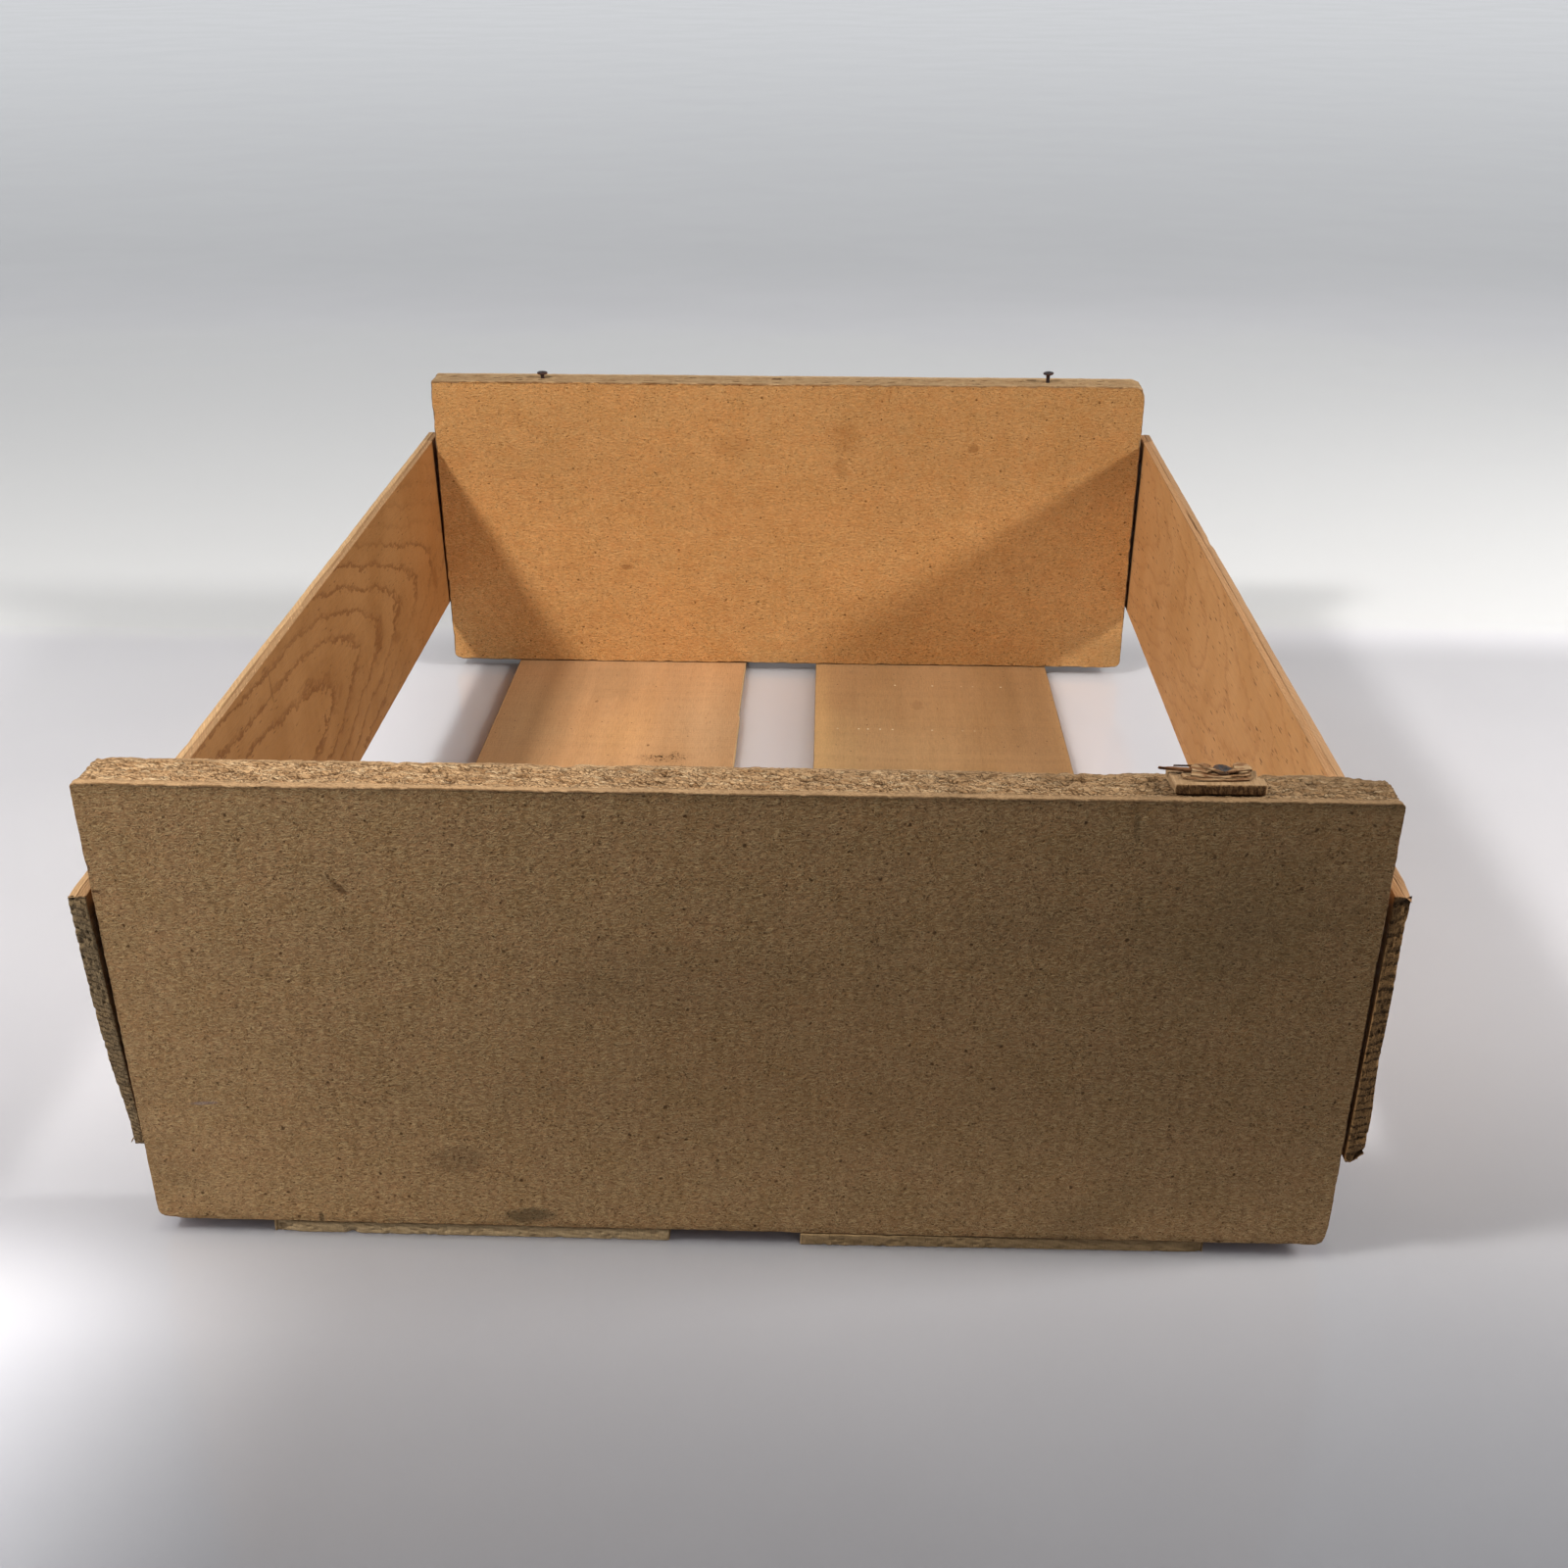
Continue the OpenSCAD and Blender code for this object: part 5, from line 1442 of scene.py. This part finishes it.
# --------------------------------------------------------------------------
# side boards
# --------------------------------------------------------------------------
def side_board(name, side):
    h = LEFT_H if side < 0 else RIGHT_H
    seed = 201 if side < 0 else 301
    out = rect_outline(-SIDE_HALF, SIDE_HALF, 0.0, h, (0.5, 0.5, 0.6, 0.6), (0.95, 0.6, 0.95, 0.55, 0.2))
    rows = np.r_[0, 0.12, 0.3, 0.6, 1.0, 1.4, 1.75, 1.95, 2.15, 2.35, 2.6, 3.0, 3.4, 3.8, 4.2, 4.5, 4.72, 4.88, SIDE_T]
    holes = [
        (e * NAIL_Y, 11 + (h - 22) * i / 2, 1, 2.56, 1.06) for e in (-1, 1) for i in range(3)
    ]

    def rim(P, N, s, tag, c):
        v, w = P[..., 0] + 0 * c, P[..., 1] + 0 * c
        s = s + 0 * c
        end = (tag == 1) | (tag == 3)
        top = (tag == 2) & (c > -1)
        wave = 0.22 + 0.16 * fbm(v / 60, 0 * v + 3 * top, seed + 1, 2) + 0.06 * fbm(v / 9, c / 4, seed + 2, 2)
        fuzz = (0.05 + 0.09 * top * (side < 0) * ramp(-40.0, 120.0, v)) * fbm(v / 0.9, c / 0.5, seed + 3, 2)
        line = 2.15 + 0.5 * noise(v / 55, 0 * v, seed + 4) + 0.12 * noise(v / 9, 0 * v, seed + 5)
        open_ = ramp(-0.35, 0.4, fbm(v / 48, 0 * v, seed + 6, 2))
        groove = np.exp(-(((c - line) / 0.24) ** 2)) * open_ * top
        step = 0.18 * ramp(line - 0.2, line + 0.2, c) * (noise(v / 70, 0 * v + 9, seed + 7)) * top
        edge = wave + fuzz + 0.4 * groove + step
        k1, k2, kr = cells(v / 26.0, 0 * v + 0.5, seed + 8)
        edge = edge + (kr > 0.8) * ramp(0.16, 0.02, k1) * ramp(2.6, 4.6, c) * 0.5
        # ends: torn fibres, raised late wood
        z = w + 0.35 * c
        band = np.abs(((z + 1.6 * noise(z / 9, c / 5, seed + 10)) / (4.6 if side < 0 else 4.4)) % 1.0 - 0.5) * 2
        ends = 0.34 + 0.12 * fbm(w / 1.1, c / 0.9, seed + 11, 3) - 0.14 * ramp(0.45, 0.95, band)
        f1, f2, q = cells(w / 2.2, c / 1.1, seed + 12)
        ends = ends + 0.45 * (q > 0.75) * ramp(0.6, 0.1, f1)
        d = np.where(end, ends, edge)
        r_in = 0.3 + 0.1 * noise(s / 8, 0 * s, seed + 13)
        r_out = 0.42 + 0.16 * noise(s / 6, 0 * s, seed + 14)
        d = d + arris(c, SIDE_T, r_in, r_out)
        if side > 0:
            # the lower front corner has split away on the outside
            away = np.hypot((v + SIDE_HALF) / 6.0, (h - w) / 7.0)
            d = d + 1.5 * ramp(1.2, 0.2, away) * ramp(2.0, 4.6, c + 0.6 * noise(w, c, seed + 16))
            away = np.hypot((v + SIDE_HALF) / 7.0, w / 4.5)
            d = d + 2.6 * ramp(1.3, 0.2, away) * ramp(1.2, 4.6, c + 0.5 * noise(w, c, seed + 15))
            nick = np.exp(-(((v - 62.0) / 5.5) ** 2)) * top
            d = d + 0.75 * nick * ramp(2.2, 4.2, c)
        else:
            away = np.hypot((v + SIDE_HALF) / 5.0, (h - w) / 3.0)
            d = d + 0.5 * ramp(1.2, 0.1, away)
            nick = np.exp(-(((v + 128.0) / 4.5) ** 2)) * top
            d = d + 0.35 * nick * ramp(3.2, 4.4, c)
        d = np.clip(d, 0.0, 4.0)
        dip = np.where(end, np.clip((d - 0.45) / 0.8, 0, 1), np.clip(groove, 0, 1))
        return d, np.zeros_like(d), {"depth": dip, "halo": 0 * d}

    def face(side_c, a, b):
        lift = 0.06 + 0.05 * fbm(a / 60, b / 22, seed + 20 + side_c, 2) + 0.03 * fbm(a / 30, b / 2.6, seed + 22, 2)
        lift = np.clip(lift, 0, 0.3)
        halo = np.zeros(len(a))
        if side_c == 1:
            for ha, hb, _hd, hr, _dd in holes:
                dx, dy = a - ha, b - hb
                r = np.hypot(dx, dy)
                lift = lift + 0.3 * ramp(hr + 1.5, hr, r)
                streak = np.hypot(dx / 2.2, dy) if side < 0 else np.hypot(dx / 1.9, dy)
                halo = np.maximum(halo, np.maximum(ramp(hr + 1.7, hr - 0.1, r), 0.4 * ramp(hr + 1.6, 1.0, streak)))
            return -lift, {"depth": 0 * halo, "halo": halo}
        return lift, {"depth": 0 * halo, "halo": halo}

    V, F, kinds, tags, at = plate(out, SIDE_T, rows, [0.35, 0.9, 1.9, 3.4], 3.2, holes, rim, face, seed=seed)
    # the front ends are worn off true: set back, and thinner on the outside
    v, w = V[:, 0].copy(), V[:, 1]
    if side < 0:
        back, thin = 0.8 * ramp(46.0, 4.0, w), 1.35 * ramp(56.0, 4.0, w) + 0.9 * ramp(30.0, 2.0, w)
    else:
        back, thin = 1.3 * ramp(54.0, 84.0, w), 0.9 * ramp(14.0, 34.0, w) * ramp(86.0, 76.0, w)
    V[:, 0] += back * ramp(-217.0, -223.0, v)
    V[:, 2] -= thin * ramp(-217.2, -222.6, v) * V[:, 2] / SIDE_T
    slots = np.select([kinds <= 1, (kinds == 2) & ((tags == 1) | (tags == 3)), kinds == 2], [0, 2, 1], 0)
    parts = [(V, F, slots.tolist(), at)]
    # loose fibres at the ends
    picks = (
        ((-222.3, 1.4, 1.2), (-214.0, -0.1, 1.6), 0.35),
        ((-222.4, 0.9, 3.6), (-217.0, 0.1, 4.3), 0.3),
        ((222.2, 60.0, 4.6), (214.0, 61.0, 4.95), 0.3),
        ((222.4, 25.0, 0.6), (218.0, 23.0, 0.25), 0.22),
    )
    for k, (p, q, r) in enumerate(picks):
        sv, sf = splinter(p, q, r, (0, 0, 0.0), seed + 50 + k)
        parts.append((sv, sf, [2] * len(sf), {"depth": 0.0, "halo": 0.0}))
    V, F, slots, at = join(parts)
    local = np.column_stack([side * V[:, 2], V[:, 0], V[:, 1]])
    W = place(side_frame(side), local)
    key = "left" if side < 0 else "right"
    ob = make_object(name, W, F, slots, [M[key + "_board"], M[key + "_edge"], M[key + "_end"]], at)
    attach(ob, "root")
    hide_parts(key + "_side_board")
    return ob


side_board("worn_left_side_board", -1)
side_board("worn_right_side_board", 1)


# --------------------------------------------------------------------------
# bottom slats
# --------------------------------------------------------------------------
def bottom_slat(name, left):
    x0 = LEFT_SLAT_X if left else RIGHT_SLAT_X
    x1 = x0 + SLAT_W
    seed = 401 if left else 501
    out = rect_outline(x0, x1, -HALF_L, HALF_L, (0.5, 0.5, 0.5, 0.5), (0.42, 1.1, 0.5, 1.1, 0.2))
    rows = np.r_[0, 0.1, 0.3, 0.6, 1.0, 1.4, 1.8, 2.2, 2.65, 3.1, 3.5, 3.78, 3.92, SLAT_T]
    holes = [(x0 + 14 + 45 * i, e * NAIL_Y, 0, 2.56, 1.06) for e in (-1, 1) for i in range(3)]

    def rim(P, N, s, tag, c):
        x, y = P[..., 0] + 0 * c, P[..., 1] + 0 * c
        end = (tag == 0) | (tag == 2)
        e = 0.2 + 0.12 * fbm(x / 7, c / 6, seed + 1, 2) + 0.12 * fbm((x + 1.6 * c) / 1.1, c / 1.4, seed + 2, 3)
        f1, f2, q = cells(x / 2.6, c / 1.3, seed + 3)
        e = e + 0.25 * (q > 0.72) * ramp(0.6, 0.1, f1)
        side = 0.25 + 0.16 * fbm(y / 45, 0 * y + (tag == 1), seed + 4, 2) + 0.07 * fbm(y / 6, c / 3, seed + 5, 2)
        side = side + 0.04 * fbm(y / 0.9, c / 0.6, seed + 6, 2)
        if left:
            side = side + 0.85 * ramp(140.0, 142.5, y) * (tag == 1)
            torn = np.exp(-(((x - (x0 + 0.0)) / 4.5) ** 2)) * (tag == 0)
            e = e + torn * (0.8 + 0.5 * noise(x, c, seed + 7))
            slant = np.exp(-(((x + 84.0) / 34.0) ** 2)) * (tag == 0)
            e = e + slant * 0.22 * ramp(0.6, 3.0, c)
            bite = np.exp(-(((x + 114.0) / 1.6) ** 2)) * (tag == 0)
            e = e + bite * 0.8 * ramp(2.6, 1.0, c)
        else:
            torn = np.exp(-(((x - (x1 - 0.0)) / 3.5) ** 2)) * (tag == 0)
            e = e + torn * 0.5
        d = np.where(end, e, side) + arris(c, SLAT_T, 0.25 + 0 * c, 0.3 + 0.1 * noise(s / 6 + 0 * c, 0 * c, seed + 9))
        d = np.clip(d, 0, 3)
        dip = np.where(end, np.clip((d - 0.6) / 0.9, 0, 1), 0)
        return d, np.zeros_like(d), {"depth": dip, "halo": 0 * d, "endgrain": end * 1.0 + 0 * d}

    def face(side_c, a, b):
        lift = 0.05 + 0.04 * fbm(a / 30, b / 70, seed + 20 + side_c, 2) + 0.02 * fbm(a / 1.9, b / 40, seed + 22, 2)
        lift = np.clip(lift, 0, 0.3)
        halo = np.zeros(len(a))
        zero = {"depth": 0 * halo, "halo": halo, "endgrain": 0 * halo}
        if side_c == 0:
            for ha, hb, _hd, hr, _dd in holes:
                r = np.hypot(a - ha, b - hb)
                lift = lift + 0.28 * ramp(hr + 1.5, hr, r)
                halo = np.maximum(halo, ramp(hr + 1.8, hr - 0.1, r))
            zero["halo"] = halo
            return lift, zero
        return -lift, zero

    V, F, kinds, tags, at = plate(out, SLAT_T, rows, [0.35, 0.9, 1.9, 3.4], 4.0, holes, rim, face, seed=seed)
    slots = np.where(kinds == 2, 1, 0)
    parts = [(V, F, slots.tolist(), at)]
    if left:
        picks = (
            ((-119.8, -221.2, 3.4), (-114.2, -221.9, 3.85), 0.42),
            ((-137.0, -221.0, 2.2), (-131.5, -221.9, 2.9), 0.35),
            ((-96.0, -221.2, 0.5), (-90.0, -221.9, 0.35), 0.3),
        )
    else:
        picks = (((17.8, -221.0, 3.4), (24.0, -221.8, 3.75), 0.3), ((119.0, -221.3, 0.5), (126.0, -221.8, 0.4), 0.28))
    for k, (p, q, r) in enumerate(picks):
        sv, sf = splinter(p, q, r, (0, 0, 0), seed + 50 + k)
        parts.append((sv, sf, [1] * len(sf), {"endgrain": 1.0}))
    V, F, slots, at = join(parts)
    V = place(slat_frame(left), V)
    key = "left" if left else "right"
    ob = make_object(name, V, F, slots, [M[key + "_slat"], M[key + "_slat_rim"]], at)
    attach(ob, "root")
    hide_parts(key + "_bottom_slat")
    return ob


bottom_slat("worn_left_bottom_slat", True)
bottom_slat("worn_right_bottom_slat", False)


# --------------------------------------------------------------------------
# nails
# --------------------------------------------------------------------------
def nails(name, matrices, node, mat, seed, **kw):
    parts = []
    for k, m in enumerate(matrices):
        v, f, at = nail_mesh(seed + 17 * k, **kw)
        parts.append((place(m, v), f, [0] * len(f), at))
    V, F, slots, at = join(parts)
    ob = make_object(name, V, F, slots, [mat], at)
    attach(ob, "root")
    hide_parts(node)
    return ob


for side, key, h in ((-1, "left", LEFT_H), (1, "right", RIGHT_H)):
    for e, where in ((-1, "front"), (1, "back")):
        ms = [
            side_frame(side)
            @ Matrix.Translation((side * SIDE_T, e * NAIL_Y, 11 + (h - 22) * i / 2))
            @ Matrix.Rotation(side * math.pi / 2, 4, "Y")
            @ Matrix.Rotation(1.3 * i + side + e, 4, "Z")
            for i in range(3)
        ]
        nails(f"driven_{key}_{where}_side_nails", ms, f"{key}_{where}_side_nails", M["nail"], 600 + 40 * e + 9 * side, sink=0.12)
        x0 = LEFT_SLAT_X if side < 0 else RIGHT_SLAT_X
        ms = [
            slat_frame(side < 0)
            @ Matrix.Translation((x0 + 14 + 45 * i, e * NAIL_Y, 0))
            @ Matrix.Rotation(math.pi, 4, "X")
            @ Matrix.Rotation(0.9 * i + side - e, 4, "Z")
            for i in range(3)
        ]
        nails(f"driven_{key}_slat_{where}_nails", ms, f"{key}_slat_{where}_nails", M["nail"], 800 + 40 * e + 9 * side, sink=0.12)
for k, key in enumerate(("left", "right")):
    m = Matrix.Translation((LID_NAIL_X[k], NAIL_Y, LID_NAIL_Z[k]))
    nails(f"standing_{key}_lid_nail", [m], f"{key}_lid_nail", M["lid_nail"], 900 + k, head_wear=1.6, tilt=((0.05, 0.04) if k else (-0.03, 0.05)), sink=0.14)
m = Matrix.Translation((SCRAP_NAIL[0], SCRAP_NAIL[1], PANEL_TOP + SCRAP_BASE_T + 1.2 + HEAD_T))
nails("bent_lid_scrap_nail", [m], "lid_scrap_nail", M["scrap_nail"], 950, head_wear=0.8, tilt=(-0.05, 0.03), sink=0.27)


# --------------------------------------------------------------------------
# the lid's remains
# --------------------------------------------------------------------------
def poly_outline(corners, step, seed, rough):
    """Points along a polygon with ragged sides, with outward normals."""
    c = np.array(corners, float)
    pts = []
    for p, q in zip(c, np.roll(c, -1, axis=0)):
        k = max(1, round(np.hypot(*(q - p)) / step))
        pts += [p + (q - p) * i / k for i in range(k)]
    pts = np.array(pts)
    n = len(pts)
    t = np.roll(pts, -3, 0) - np.roll(pts, 3, 0)
    t /= np.hypot(*t.T)[:, None]
    nor = np.column_stack([t[:, 1], -t[:, 0]])
    nor = sum(np.roll(nor, k, 0) for k in range(-2, 3))
    nor /= np.hypot(*nor.T)[:, None]
    s = np.r_[0, np.cumsum(np.hypot(*np.diff(pts, axis=0).T))]
    r = rough * (0.5 + 0.5 * fbm(pts[:, 0] / 1.3, pts[:, 1] / 0.7, seed, 3))
    pts = pts - nor * r[:, None]
    return pts, nor, s, np.zeros(n, int)


def scrap_slat():
    c = np.array(
        [(0, 0.3), (3.2, 0), (23.2, 0.3), (23.9, 1), (23.6, 4.6), (22.2, 5.8), (22.5, 9.6), (17.2, 10.7), (9.4, 10.3), (-0.6, 10.8), (-1.1, 9.6), (-0.4, 5.2)]
    ) + np.array([SCRAP_X, SCRAP_Y])
    out = poly_outline(c, 0.28, 71, 0.12)
    T = SCRAP_BASE_T
    rows = np.r_[0, 0.15, 0.4, 0.75, 1.1, 1.5, 1.9, 2.2, 2.45, T]
    holes = [(SCRAP_NAIL[0], SCRAP_NAIL[1], None, 0, 0)]

    def rim(P, N, s, tag, c):
        x = P[..., 0] + 0 * c
        front = ramp(-0.6, -0.9, N[..., 1] + 0 * c)
        bars = fbm(x / 0.8, c / 5.0, 72, 2)
        d = 0.04 + front * (0.12 + 0.22 * bars) + (1 - front) * (0.14 + 0.2 * fbm(s / 0.9 + 0 * c, c / 0.45, 73, 3))
        d = d + arris(c, T, 0.15 + 0 * c, 0.22 + 0 * c)
        d = np.clip(d, 0, 1.2)
        return d, 0 * d, {"endgrain": front, "depth": np.clip(-bars, 0, 1) * front}

    def face(side, a, b):
        lift = 0.05 + 0.05 * fbm(a / 0.8, b / 6, 75, 2) + 0.05 * fbm(a / 5, b / 5, 76, 2)
        z = {"endgrain": np.zeros(len(a)), "depth": np.zeros(len(a))}
        lift = np.clip(lift, 0, 0.3)
        return (lift if side == 0 else -lift), z

    V, F, kinds, tags, at = plate(out, T, rows, [0.3, 0.75], 0.62, holes, rim, face, convex=False, seed=77)
    W = V + np.array([0, 0, PANEL_TOP])
    ob = make_object("torn_lid_slat_end", W, F, np.zeros(len(F), int), [M["scrap"]], at)
    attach(ob, "root")
    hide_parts("lid_slat_scrap")


def shard(corners, z0, thick, warp, seed, layer, rough=0.3, step=0.3):
    """One torn layer of the cleat; warp(a, b) lifts it."""
    c = np.array(corners) + np.array([SCRAP_X, SCRAP_Y])
    out = poly_outline(c, step, seed, rough)
    rows = np.linspace(0, thick, 5)

    def rim(P, N, s, tag, c):
        x, y = P[..., 0] + 0 * c, P[..., 1] + 0 * c
        d = 0.08 + 0.16 * (1 + fbm(x / 1.1, (y + 3 * c) / 0.35, seed + 1, 2)) + 0.1 * np.abs(c / thick - 0.4)
        return np.clip(d, 0, 0.6), 0 * d, {"depth": 0.5 + 0.5 * noise(s / 1.1 + 0 * c, c / 0.3, seed + 2), "layer": 0 * d + layer}

    def face(side, a, b):
        lift = 0.04 * fbm(a / 4, b / 0.5, seed + 3, 2)
        return lift, {"depth": np.clip(0.35 * fbm(a / 5, b / 0.6, seed + 4, 2), 0, 1), "layer": np.full(len(a), float(layer))}

    V, F, kinds, tags, at = plate(out, thick, rows, [0.22, 0.5], 0.55, [], rim, face, convex=False, seed=seed + 5)
    a, b = V[:, 0] - SCRAP_X, V[:, 1] - SCRAP_Y
    V = V + np.column_stack([np.zeros(len(V)), np.zeros(len(V)), PANEL_TOP + SCRAP_BASE_T + z0 + warp(a, b)])
    V[:, 2] = np.minimum(V[:, 2], PANEL_TOP + SCRAP_BASE_T + 1.2 + HEAD_T - 0.02)
    return V, F, [0] * len(F), at


def scrap_cleat():
    parts = [
        # the layer next to the slat
        shard(
            [(2.2, 3.6), (5.6, 2.5), (9.5, 2.0), (15.4, 2.2), (19.4, 3.0), (20.8, 4.4), (20.4, 8.0), (15.0, 9.4), (8.6, 9.4), (3.6, 8.4), (2.0, 6.2)],
            -0.1, 0.6, lambda a, b: 0.05 * np.sin(a * 0.7), 81, 0,
        ),
        # the middle layer, curled up round the nail's head
        shard(
            [(4.0, 4.0), (8.0, 3.0), (12.6, 2.7), (17.0, 3.3), (20.4, 4.6), (20.0, 8.0), (15.6, 9.6), (9.2, 9.6), (5.0, 8.2)],
            0.36, 0.6, lambda a, b: 0.7 * ramp(2.6, 5.5, np.abs(a - 12.6)) * ramp(3.0, 8.5, b) - 0.25 * ramp(5, 3.0, b), 83, 1,
        ),
        # the bulge to the right of the nail
        shard(
            [(15.5, 5.0), (17.6, 4.2), (20.0, 5.0), (20.9, 6.8), (19.8, 9.4), (17.2, 10.3), (15.5, 8.8)],
            1.0, 0.7, lambda a, b: 0.55 * ramp(5.0, 9.0, b), 85, 2, rough=0.35,
        ),
        # torn strands to the left of it
        shard(
            [(4.8, 5.4), (8.6, 4.4), (10.4, 5.4), (10.2, 8.4), (8.6, 9.5), (6.0, 9.0), (4.2, 7.4)],
            0.95, 0.55, lambda a, b: 0.6 * ramp(4.8, 8.6, b), 87, 1,
        ),
        # strands that cross the lower corners of the nail's head
        shard(
            [(6.6, 8.0), (8.2, 6.2), (10.6, 4.5), (12.6, 3.9), (13.3, 4.3), (11.8, 5.5), (9.6, 7.6), (8.0, 8.8)],
            1.55, 0.5, lambda a, b: 0.12 * ramp(12.5, 8.0, a), 93, 0, rough=0.2,
        ),
        shard(
            [(12.8, 3.9), (15.2, 4.3), (18.0, 4.9), (20.6, 5.6), (20.2, 6.7), (17.4, 6.6), (15.2, 6.3), (13.6, 5.1)],
            1.5, 0.5, lambda a, b: 0.1 * ramp(14.0, 18.0, a), 95, 0, rough=0.2,
        ),
        # the long splinter with the cleat's old surface
        shard(
            [(-3.8, 7.4), (-1.0, 6.5), (3.0, 5.8), (7.4, 5.6), (7.8, 7.0), (4.0, 7.9), (0.0, 8.0)],
            0.85, 0.62, lambda a, b: 0.2 - 0.03 * a, 89, 4, rough=0.14,
        ),
        shard(
            [(0.2, 7.9), (6.0, 7.7), (10.0, 7.8), (10.6, 8.4), (5.0, 8.7), (0.8, 8.5)],
            1.25, 0.5, lambda a, b: 0.34 - 0.3 * ramp(7.8, 8.6, b), 91, 3, rough=0.2,
        ),
    ]
    for k, (p, q, r) in enumerate(
        (
            ((11.0, 2.6, 0.45), (3.6, 2.6, 0.3), 0.3),
            ((13.0, 2.5, 0.4), (20.6, 3.4, 0.5), 0.32),
            ((8.0, 3.8, 0.95), (14.6, 3.2, 0.8), 0.34),
            ((14.4, 3.7, 0.95), (20.6, 4.4, 1.2), 0.34),
            ((18.0, 8.6, 1.9), (21.0, 7.2, 1.9), 0.26),
            ((3.5, 6.4, 1.1), (-2.4, 7.2, 0.95), 0.26),
        )
    ):
        off = np.array([SCRAP_X, SCRAP_Y, PANEL_TOP + SCRAP_BASE_T])
        v, f = splinter(np.array(p) + off, np.array(q) + off, r, (0, 0, 0), 500 + k, steps=12)
        v[:, 2] = np.minimum(v[:, 2], PANEL_TOP + SCRAP_BASE_T + 1.2 + HEAD_T - 0.02)
        parts.append((v, f, [0] * len(f), {"layer": float(k % 3), "depth": 0.25}))
    V, F, slots, at = join(parts)
    ob = make_object("torn_lid_cleat_end", V, F, slots, [M["torn"]], at)
    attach(ob, "root")
    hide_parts("lid_cleat_scrap")


scrap_slat()
scrap_cleat()

# --------------------------------------------------------------------------
# floor, light, camera
# --------------------------------------------------------------------------
scene = bpy.context.scene
me = bpy.data.meshes.new("floor")
ring = [(14 * math.cos(math.radians(a)), 14 * math.sin(math.radians(a)), 0.0) for a in range(0, 360, 5)]
me.from_pydata([(0, 0, 0)] + ring, [], [(0, 1 + i, 1 + (i + 1) % 72) for i in range(72)])
me.materials.append(floor_mat)
floor = bpy.data.objects.new("floor", me)
scene.collection.objects.link(floor)

world = bpy.data.worlds.new("studio")
scene.world = world
world.use_nodes = True
bg = world.node_tree.nodes.get("Background") or world.node_tree.nodes.new("ShaderNodeBackground")
bg.inputs["Color"].default_value = (0.95, 0.97, 1.0, 1.0)
wt = world.node_tree


def world_math(op, a, b):
    n = wt.nodes.new("ShaderNodeMath")
    n.operation = op
    for sock, v in zip(n.inputs, (a, b)):
        if isinstance(v, bpy.types.NodeSocket):
            wt.links.new(v, sock)
        else:
            sock.default_value = v
    return n.outputs[0]


# a pale backdrop behind, a pale band low in front, dim above
coord = wt.nodes.new("ShaderNodeTexCoord")
axes = wt.nodes.new("ShaderNodeSeparateXYZ")
wt.links.new(coord.outputs["Generated"], axes.inputs[0])
back = wt.nodes.new("ShaderNodeMapRange")
back.interpolation_type = "SMOOTHSTEP"
wt.links.new(axes.outputs["Y"], back.inputs["Value"])
back.inputs["From Min"].default_value = -0.1
back.inputs["From Max"].default_value = 0.85
back.inputs["To Min"].default_value = 0.0
back.inputs["To Max"].default_value = 1.0
low = wt.nodes.new("ShaderNodeMapRange")
low.interpolation_type = "SMOOTHSTEP"
wt.links.new(axes.outputs["Z"], low.inputs["Value"])
low.inputs["From Min"].default_value = 0.12
low.inputs["From Max"].default_value = 0.5
low.inputs["To Min"].default_value = 0.92
low.inputs["To Max"].default_value = 0.12
glow = world_math("MULTIPLY", back.outputs["Result"], low.outputs["Result"])
room = wt.nodes.new("ShaderNodeMapRange")
room.interpolation_type = "SMOOTHSTEP"
wt.links.new(axes.outputs["Z"], room.inputs["Value"])
room.inputs["From Min"].default_value = 0.02
room.inputs["From Max"].default_value = 0.3
room.inputs["To Min"].default_value = 0.38
room.inputs["To Max"].default_value = 0.0
rest = world_math("MULTIPLY", room.outputs["Result"], world_math("SUBTRACT", 1.0, back.outputs["Result"]))
glow = world_math("ADD", glow, rest)
wt.links.new(world_math("ADD", glow, 0.045), bg.inputs["Strength"])


def lamp(name, at, target, size, power, tint):
    data = bpy.data.lights.new(name, "AREA")
    data.shape = "DISK"
    data.size = size
    data.energy = power
    data.color = tint
    ob = bpy.data.objects.new(name, data)
    ob.location = at
    ob.rotation_mode = "QUATERNION"
    ob.rotation_quaternion = (Vector(target) - Vector(at)).to_track_quat("-Z", "Y")
    ob.visible_camera = False
    ob.visible_glossy = False
    scene.collection.objects.link(ob)
    return ob


lamp("key_left", (-0.62, -0.40, 0.90), (0.0, 0.1, 0.05), 0.14, 11.4, (1.0, 0.98, 0.95))
lamp("key_right", (1.07, -0.15, 0.73), (0.0, 0.1, 0.05), 0.2, 15.4, (1.0, 0.98, 0.95))

cam_data = bpy.data.cameras.new("camera")
cam_data.lens = 39.4875
cam_data.sensor_width = 36.0
cam_data.clip_start = 0.01
cam_data.clip_end = 60.0
cam = bpy.data.objects.new("camera", cam_data)
fwd = Vector((-0.0305, 0.8915, -0.4519)).normalized()
right = Vector((0.9994, 0.0344, 0.0004))
right = (right - fwd * right.dot(fwd)).normalized()
up = right.cross(fwd)
rot = Matrix((right, up, -fwd)).transposed()
cam.matrix_world = Matrix.Translation((0.0273, -0.61255, 0.3496)) @ rot.to_4x4()
scene.collection.objects.link(cam)
scene.camera = cam
scene.view_settings.view_transform = "Standard"
scene.view_settings.look = "None"
